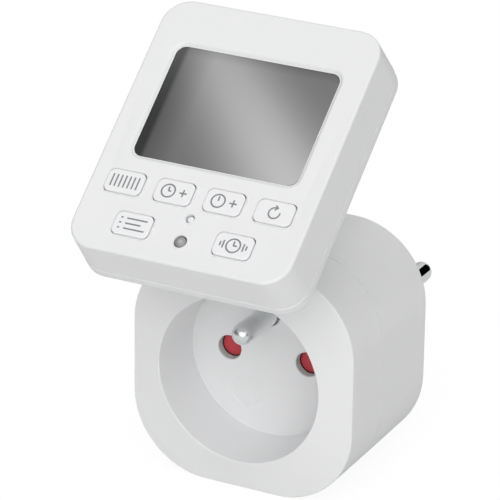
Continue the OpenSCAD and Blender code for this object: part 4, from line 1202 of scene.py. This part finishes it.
def signs():
    """Line drawings for the keys, in millimetres from each key's middle."""
    dial = [ring_path(-1.35, 0, 1.5)]
    side_bars = ((-3, 0.5), (-2.3, 0.9), (2.3, 0.9), (3, 0.5))
    program = []
    for i, end in enumerate((3.1, 1.9, 3.1)):
        y = 1.2 - 1.2 * i
        program += [bar_path(-3.1, y, -2.6, y), bar_path(-1.7, y, end, y)]
    return {
        "day": [bar_path(-3 + i, -1.45, -3 + i, 1.45) for i in range(7)],
        "hour": [*dial, bar_path(-1.35, 0.95, -1.35, 0), bar_path(-1.35, 0, -0.7, 0),
                 *plus_sign(2.1)],
        "minute": [*dial, bar_path(-1.35, 1.1, -1.35, 0), *plus_sign(2.1)],
        "cycle": [ring_path(0, -0.15, 1.25, 70, 300),
                  ([(-0.2, 1.65), (0.5, 1.08), (-0.2, 0.5)], False)],
        "program": program,
        "clock": [ring_path(0, 0, 1.55), bar_path(0, 1.05, 0, 0), bar_path(0, 0, 0.8, 0),
                  *(bar_path(x, -half, x, half) for x, half in side_bars)],
    }


# --------------------------------------------------------------- operators


class TimerOperator:
    """What all the operators share."""

    bl_options = {"REGISTER", "UNDO"}


class TIMER_OT_finishes(TimerOperator, Operator):
    """Make every finish and dress the CAD nodes that stay"""

    bl_idname = "timer.finishes"
    bl_label = "Finishes"

    def execute(self, context):
        FINISHES.clear()
        FINISHES.update(make_finishes(context.scene.timer_finish))
        for finish, nodes in NODE_FINISHES.items():
            for name in nodes.split():
                dress(frame["nodes"][name].data, finish)
        return {"FINISHED"}


class TIMER_OT_housings(TimerOperator, Operator):
    """Build the front and rear housing"""

    bl_idname = "timer.housings"
    bl_label = "Housings"

    def execute(self, context):
        size, hinge = context.scene.timer_body, context.scene.timer_hinge
        half, top = hinge.width / 2 + FIT, size.height / 2
        opening = ((-half, top - 2 * size.wall, -hinge.setback - hinge.foot - FIT),
                   (half, top + 0.001, -hinge.setback + FIT))
        for build, node in ((front_housing, "front_housing"), (rear_housing, "rear_housing")):
            obj = placed(build(size))
            cut(obj, block(*opening), BODY)
            piece(smooth(obj), "base", "white", (node,))
        pads, shade_liners = Moulding(), Moulding()
        front = -size.recess_depth - size.floor
        pad_foot, pad_top, rise = front - 0.0006, front - 0.00005, 0.00001
        mouth, end = -size.recess_depth - CHAMFER, front + 0.00002
        outside, inside = size.hole - 2e-6, size.hole - size.shade_liner
        for side in (-1, 1):
            at = (side * size.pitch / 2, 0)
            pads.lathe([(size.pad, pad_foot), *rim(size.pad, pad_top, CHAMFER, 3),
                        (0, pad_top + rise)], at)
            # A grey liner on each contact hole's wall is painted shade: the hole has no such part.
            shade_liners.turn([(outside, mouth), (outside, end), (inside, end),
                         (inside, mouth - size.shade_liner), (outside, mouth)], at, 48)
        bmesh.ops.remove_doubles(shade_liners.bm, verts=shade_liners.bm.verts, dist=1e-7)
        piece(pads.solid("shutter_pads", BODY), "shutter", "red")
        piece(shade_liners.solid("contact_hole_shade_liners", BODY), "base", "shade_liner")
        return {"FINISHED"}


class TIMER_OT_plug(TimerOperator, Operator):
    """Build the plug, its pins and its earth clips"""

    bl_idname = "timer.plug"
    bl_label = "Plug"

    def execute(self, context):
        size, body = context.scene.timer_plug, context.scene.timer_body
        piece(smooth(plug_body(size, body)), "base", "white", ("plug_boss",))
        tail, tail_end, seat = 0.0015, -0.0194, 0.0027
        collar, collar_end = 0.0036, -size.face - 0.0012
        for side, name in ((1, "left"), (-1, "right")):
            obj = pin(f"plug_pin_{name}_turned", [
                (tail, tail_end), (tail, collar_end), (collar, collar_end), (collar, -size.face),
                (seat, -size.face), (seat, -0.0001), (seat - FIT, 0), (size.pin, 0),
                *dome(size.pin, size.pin_length),
            ], PLUG, (side * body.pitch / 2, 0))
            piece(obj, "base", "chrome", (f"plug_pin_{name}",))
        floor, back = -body.recess_depth, -body.recess_depth - body.floor
        collar, collar_end, tail_end = 0.0034, back - 0.0012, -0.0212
        groove = floor - size.root_groove
        obj = pin("earth_pin_turned", [
            (tail, tail_end), (tail, collar_end), (collar, collar_end), (collar, back),
            (seat, back), (seat, groove), (size.pin, groove),
            *dome(size.pin, size.earth_length + floor),
        ], BODY, (0, body.pin_up))
        piece(obj, "base", "nickel", ("earth_pin",))
        graph, known = line_tree("Strip", flat=True)
        half = size.clip_sheet / 2
        foot, floor = size.clip_foot - size.height, size.radius - size.pocket
        gap, hook = 0.0001, floor - 0.0018
        rest = floor + gap + half
        for side, name in ((1, "top"), (-1, "bottom")):
            path = [(foot + half, hook), (foot + half, rest),
                    (foot / 2, floor + size.clip_bow + half), (-size.clip_sheet, rest)]
            wire = wire_mesh(f"earth_clip_{name}_bent",
                             [([(0, y, side * z) for y, z in path], False)], Matrix.Identity(4))
            obj = grown(wire, "nickel", graph, known, {
                "Width": size.clip, "Thickness": size.clip_sheet, "Bend": size.clip_bend,
                "Across": (1.0, 0.0, 0.0),
            })
            piece(smooth(obj), "base", "nickel", (f"earth_clip_{name}",))
        return {"FINISHED"}


class TIMER_OT_neck(TimerOperator, Operator):
    """Build the neck, the hinge ears and the hinge caps"""

    bl_idname = "timer.neck"
    bl_label = "Neck and hinge"

    def execute(self, context):
        size, head = context.scene.timer_hinge, context.scene.timer_head
        half, top = size.width / 2, context.scene.timer_body.height / 2
        front = HOUSING_LOW.y + size.setback
        back, flange = front + size.foot, top - size.flange
        outline = [(front, flange), (back, flange), (back, top),
                   *wrap((back, top), (front, top), PIVOT.yz, size.knuckle), (front, top)]
        neck = extruded("neck_gusset", outline, -half, half, SIDE, size.edge)
        piece(neck, "base", "white", ("neck",))
        slack, sunk = 0.0002, 0.0009
        ear_in = half + size.washer + slack
        ear_out = ear_in + size.ear
        reach, face = size.knuckle + size.ear_spread, -head.depth
        low, high = (size.up - reach, face), (size.up + reach, face)
        inside = face + sunk
        outline = [(low[0], inside), low,
                   *wrap(low, high, (size.up, face - size.standoff), size.knuckle),
                   high, (high[0], inside)]
        for sign, name in ((-1, "left"), (1, "right")):
            span = sorted((sign * ear_in, sign * ear_out))
            ear = extruded(f"hinge_ear_{name}", outline, *span, HEAD @ SIDE, size.edge)
            piece(ear, "head", "white")
        caps = Moulding()
        post, post_end, cap_out = 0.00225, ear_out - 0.0014, ear_out + size.cap_sheet
        for sign in (-1, 1):
            profile = [(post, post_end), (post, ear_out), (size.cap, ear_out),
                       *rim(size.cap, cap_out, size.cap_edge, 4)]
            caps.lathe([(radius, sign * n) for radius, n in profile])
        caps = caps.solid("hinge_cap_pair", Matrix.Translation(PIVOT) @ SIDE)
        piece(caps, "head", "white", ("hinge_caps",))
        return {"FINISHED"}


class TIMER_OT_head(TimerOperator, Operator):
    """Build the head's shell, its cover, the reset button and the lamp"""

    bl_idname = "timer.head"
    bl_label = "Head"

    def execute(self, context):
        size, keys = context.scene.timer_head, context.scene.timer_keys
        piece(smooth(placed(head_shell(size, keys))), "head", "white",
              ("head_front_shell",))
        piece(smooth(placed(head_cover(size))), "head", "white",
              ("head_back_cover",))
        top, end, foot = -0.0003, KEY_FLANGE - KEY_FLANGE_SHEET, -0.0036
        flange, edge, rise = size.reset + 0.0005, 0.0003, 0.00004
        button = pin("reset_button_turned", [
            (size.reset, foot), (size.reset, end), (flange, end), (flange, KEY_FLANGE),
            (size.reset, KEY_FLANGE), *rim(size.reset, top, edge, 4), (0, top + rise),
        ], HEAD, (0, -size.reset_drop))
        piece(button, "reset_button", "key", ("reset_button",))
        rise, shoulder, foot = 0.0001, -0.0004, -0.006
        flange = size.lamp + 0.0003
        lens = [(size.lamp * math.cos(a), shoulder + (rise - shoulder) * math.sin(a))
                for a in quarter_turn(8)[:-1]]
        lamp = pin("indicator_lamp_lens", [
            (flange, foot - 0.001), (flange, foot), (size.lamp, foot), *lens, (0, rise),
        ], HEAD, (0, -size.lamp_drop))
        piece(lamp, "head", "lamp", ("indicator_lamp",))
        return {"FINISHED"}


class TIMER_OT_keys(TimerOperator, Operator):
    """Build the six keys and the signs printed on them"""

    bl_idname = "timer.keys"
    bl_label = "Keys"

    def execute(self, context):
        keys = context.scene.timer_keys
        graph, known = line_tree("Printed line", flat=False)
        drawings = signs()
        for name, spot in key_spots(keys).items():
            cap = key_cap(f"key_{name}_cap", keys, spot)
            piece(cap, f"key_{name}", "key", (f"key_{name}",))
            paths = [([(spot[0] + x / 1000, spot[1] + y / 1000, keys.proud) for x, y in points],
                      closed) for points, closed in drawings[name]]
            sign = grown(wire_mesh(f"key_{name}_sign", paths, HEAD), "ink", graph, known, {
                "Width": keys.print_width, "Thickness": keys.print_rise, "Bend": 0.0,
                "Across": tuple(HEAD.col[2].xyz),
            })
            piece(sign, f"key_{name}", "ink")
        return {"FINISHED"}


class TIMER_OT_screws(TimerOperator, Operator):
    """Build the housing screws and the head's screws"""

    bl_idname = "timer.screws"
    bl_label = "Screws"

    def execute(self, context):
        body, head = context.scene.timer_body, context.scene.timer_head
        graph, known = screw_tree()
        rows = (
            ("housing_screw_set", "housing_screws", "base", BODY,
             (body.screw_at, body.screw_at, body.well_depth - body.depth),
             (0.0024, 0.0018, 0.0013, 0.016)),
            ("head_screw_set", "head_screws", "head", HEAD,
             (head.width / 2 - head.screw_in, head.height / 2 - head.screw_in,
              head.screw_depth - head.depth), (head.screw_head, 0.0012, 0.001, 0.0068)),
        )
        for name, node, owner, place, (u, v, n), sizes in rows:
            spots = bpy.data.meshes.new(name)
            spots.from_pydata([(x * u, y * v, n) for x in (-1, 1) for y in (-1, 1)], [], [])
            spots.transform(place)
            labels = ("Head radius", "Head thickness", "Shank radius", "Length")
            made = grown(spots, "steel", graph, known, {
                "Axis": tuple(-place.col[2].xyz), **dict(zip(labels, sizes)),
            })
            piece(smooth(made), owner, "steel", (node,))
        return {"FINISHED"}


class TIMER_OT_stage(TimerOperator, Operator):
    """Set up the floor, the light and the camera"""

    bl_idname = "timer.stage"
    bl_label = "Stage"

    def execute(self, context):
        scene, view = context.scene, context.scene.timer_stage
        scene.view_settings.view_transform = "Standard"
        scene.world = self.studio(view)
        self.floor(view)
        self.card(view)
        light = bpy.data.lights.new("Key light", "AREA")
        light.size = 0.3
        light.energy = view.lamp_power
        lamp = bpy.data.objects.new("Key light", light)
        lamp.location = view.lamp_place
        middle = Vector((0, -0.05, 0.02))
        aim = middle - Vector(view.lamp_place)
        lamp.rotation_mode = "QUATERNION"
        lamp.rotation_quaternion = aim.to_track_quat("-Z", "Y")
        scene.camera = self.camera(view)
        for obj in (lamp, scene.camera):
            scene.collection.objects.link(obj)
        return {"FINISHED"}

    def studio(self, view):
        """Soft lights on the sky. The camera sees plain white instead."""
        world = bpy.data.worlds.new("Studio")
        world.use_nodes = True
        world.node_tree.nodes.clear()
        graph = Graph(world.node_tree)
        seen = graph.seen_directly().clamped()
        ray = graph.node("ShaderNodeTexCoord").outputs["Generated"]
        light = view.ambient
        for side, focus, power in ((view.softbox, view.softbox_focus, view.softbox_light),
                                   ((0, 0, 1), 3.0, view.top_light),
                                   ((0, 1, 0.3), 8.0, view.back_light),
                                   ((-0.6, 0.8, 0.2), 3.0, view.rear_fill)):
            facing = graph.node("ShaderNodeVectorMath", {"operation": "DOT_PRODUCT"}, {
                0: ray, 1: Vector(side).normalized(),
            })
            light = light + power * graph.field(facing, "Value").clamped() ** focus
        sky = graph.node("ShaderNodeBackground", None, {
            "Color": (1.0, 1.0, 1.0, 1.0), "Strength": light * (1 - seen) + seen,
        })
        graph.node("ShaderNodeOutputWorld", None, {"Surface": sky.outputs[0]})
        return world

    def sheet(self, name, finish, half, place):
        """A flat square that isn't part of the object, with a material of its own."""
        made = bpy.data.meshes.new(name)
        made.from_pydata([(-half, -half, 0), (half, -half, 0), (half, half, 0), (-half, half, 0)],
                         [], [(0, 1, 2, 3)])
        made.transform(place)
        material, graph = empty_material(finish)
        made.materials.append(material)
        obj = placed(made)
        return obj, graph

    def floor(self, view):
        """A pale floor that takes the object's shadow."""
        place = Matrix.Translation((0, 0, CAD_BOX[0].z))
        graph = self.sheet("floor", "pale_floor", 3.0, place)[1]
        glow = graph.node("ShaderNodeEmission", None, {
            "Color": (1.0, 1.0, 1.0, 1.0), "Strength": 1.06,
        })
        mixed = graph.node("ShaderNodeMixShader", None, {
            0: (view.floor_glow * graph.seen_directly()).clamped(),
            1: diffuse(graph, view.floor_tone), 2: glow.outputs[0],
        })
        graph.node("ShaderNodeOutputMaterial", None, {"Surface": mixed.outputs[0]})

    def card(self, view):
        """A black card that faces the left plug pin. Only polished metal shows it."""
        left_pin = Vector((0.0095, 0.01, 0))
        aim = left_pin - Vector(view.card_place)
        turn = aim.to_track_quat("Z", "Y").to_matrix().to_4x4()
        place = Matrix.Translation(view.card_place) @ turn
        obj, graph = self.sheet("black_card", "black_card", view.card_size / 2, place)
        black = diffuse(graph, 0.0)
        graph.node("ShaderNodeOutputMaterial", None, {"Surface": black})
        obj.visible_camera = obj.visible_diffuse = obj.visible_shadow = False

    def camera(self, view):
        """The camera, from its place and its angles."""
        camera = bpy.data.cameras.new("Camera")
        camera.lens = view.focal
        camera.sensor_width = 36
        camera.clip_start, camera.clip_end = 0.01, 50
        obj = bpy.data.objects.new("Camera", camera)
        a, e, r = view.azimuth, view.elevation, view.roll
        look = Vector((-math.sin(a) * math.cos(e), math.cos(a) * math.cos(e), -math.sin(e)))
        side = Vector((math.cos(a), math.sin(a), 0))
        up = side.cross(look)
        obj.matrix_world = axes(side * math.cos(r) + up * math.sin(r),
                                up * math.cos(r) - side * math.sin(r), -look, view.place)
        return obj


PIECES = (TIMER_OT_housings, TIMER_OT_plug, TIMER_OT_neck, TIMER_OT_head, TIMER_OT_keys,
          TIMER_OT_screws)


class TIMER_PT_sidebar(Panel):
    """Sizes, colours and buttons of the timer switch"""

    bl_idname = "TIMER_PT_sidebar"
    bl_label = "Timer switch"
    bl_space_type = "VIEW_3D"
    bl_region_type = "UI"
    bl_category = "Timer"

    def draw(self, context):
        layout = self.layout
        for name, group in GROUPS.items():
            box = layout.box()
            box.label(text=group.__doc__)
            for key in group.__annotations__:
                box.prop(getattr(context.scene, name), key)
        for operator in (TIMER_OT_finishes, *PIECES, TIMER_OT_stage):
            layout.operator(operator.bl_idname)


CLASSES = (*GROUPS.values(), TIMER_OT_finishes, *PIECES, TIMER_OT_stage, TIMER_PT_sidebar)


def register():
    for cls in CLASSES:
        bpy.utils.register_class(cls)
    for name, group in GROUPS.items():
        setattr(bpy.types.Scene, name, PointerProperty(type=group))


def unregister():
    for name in GROUPS:
        delattr(bpy.types.Scene, name)
    for cls in reversed(CLASSES):
        bpy.utils.unregister_class(cls)


def main():
    register()
    bpy.ops.timer.finishes()
    bpy.ops.timer.housings()
    bpy.ops.timer.plug()
    bpy.ops.timer.neck()
    bpy.ops.timer.head()
    bpy.ops.timer.keys()
    bpy.ops.timer.screws()
    bpy.ops.timer.stage()


if __name__ == "__main__":
    main()
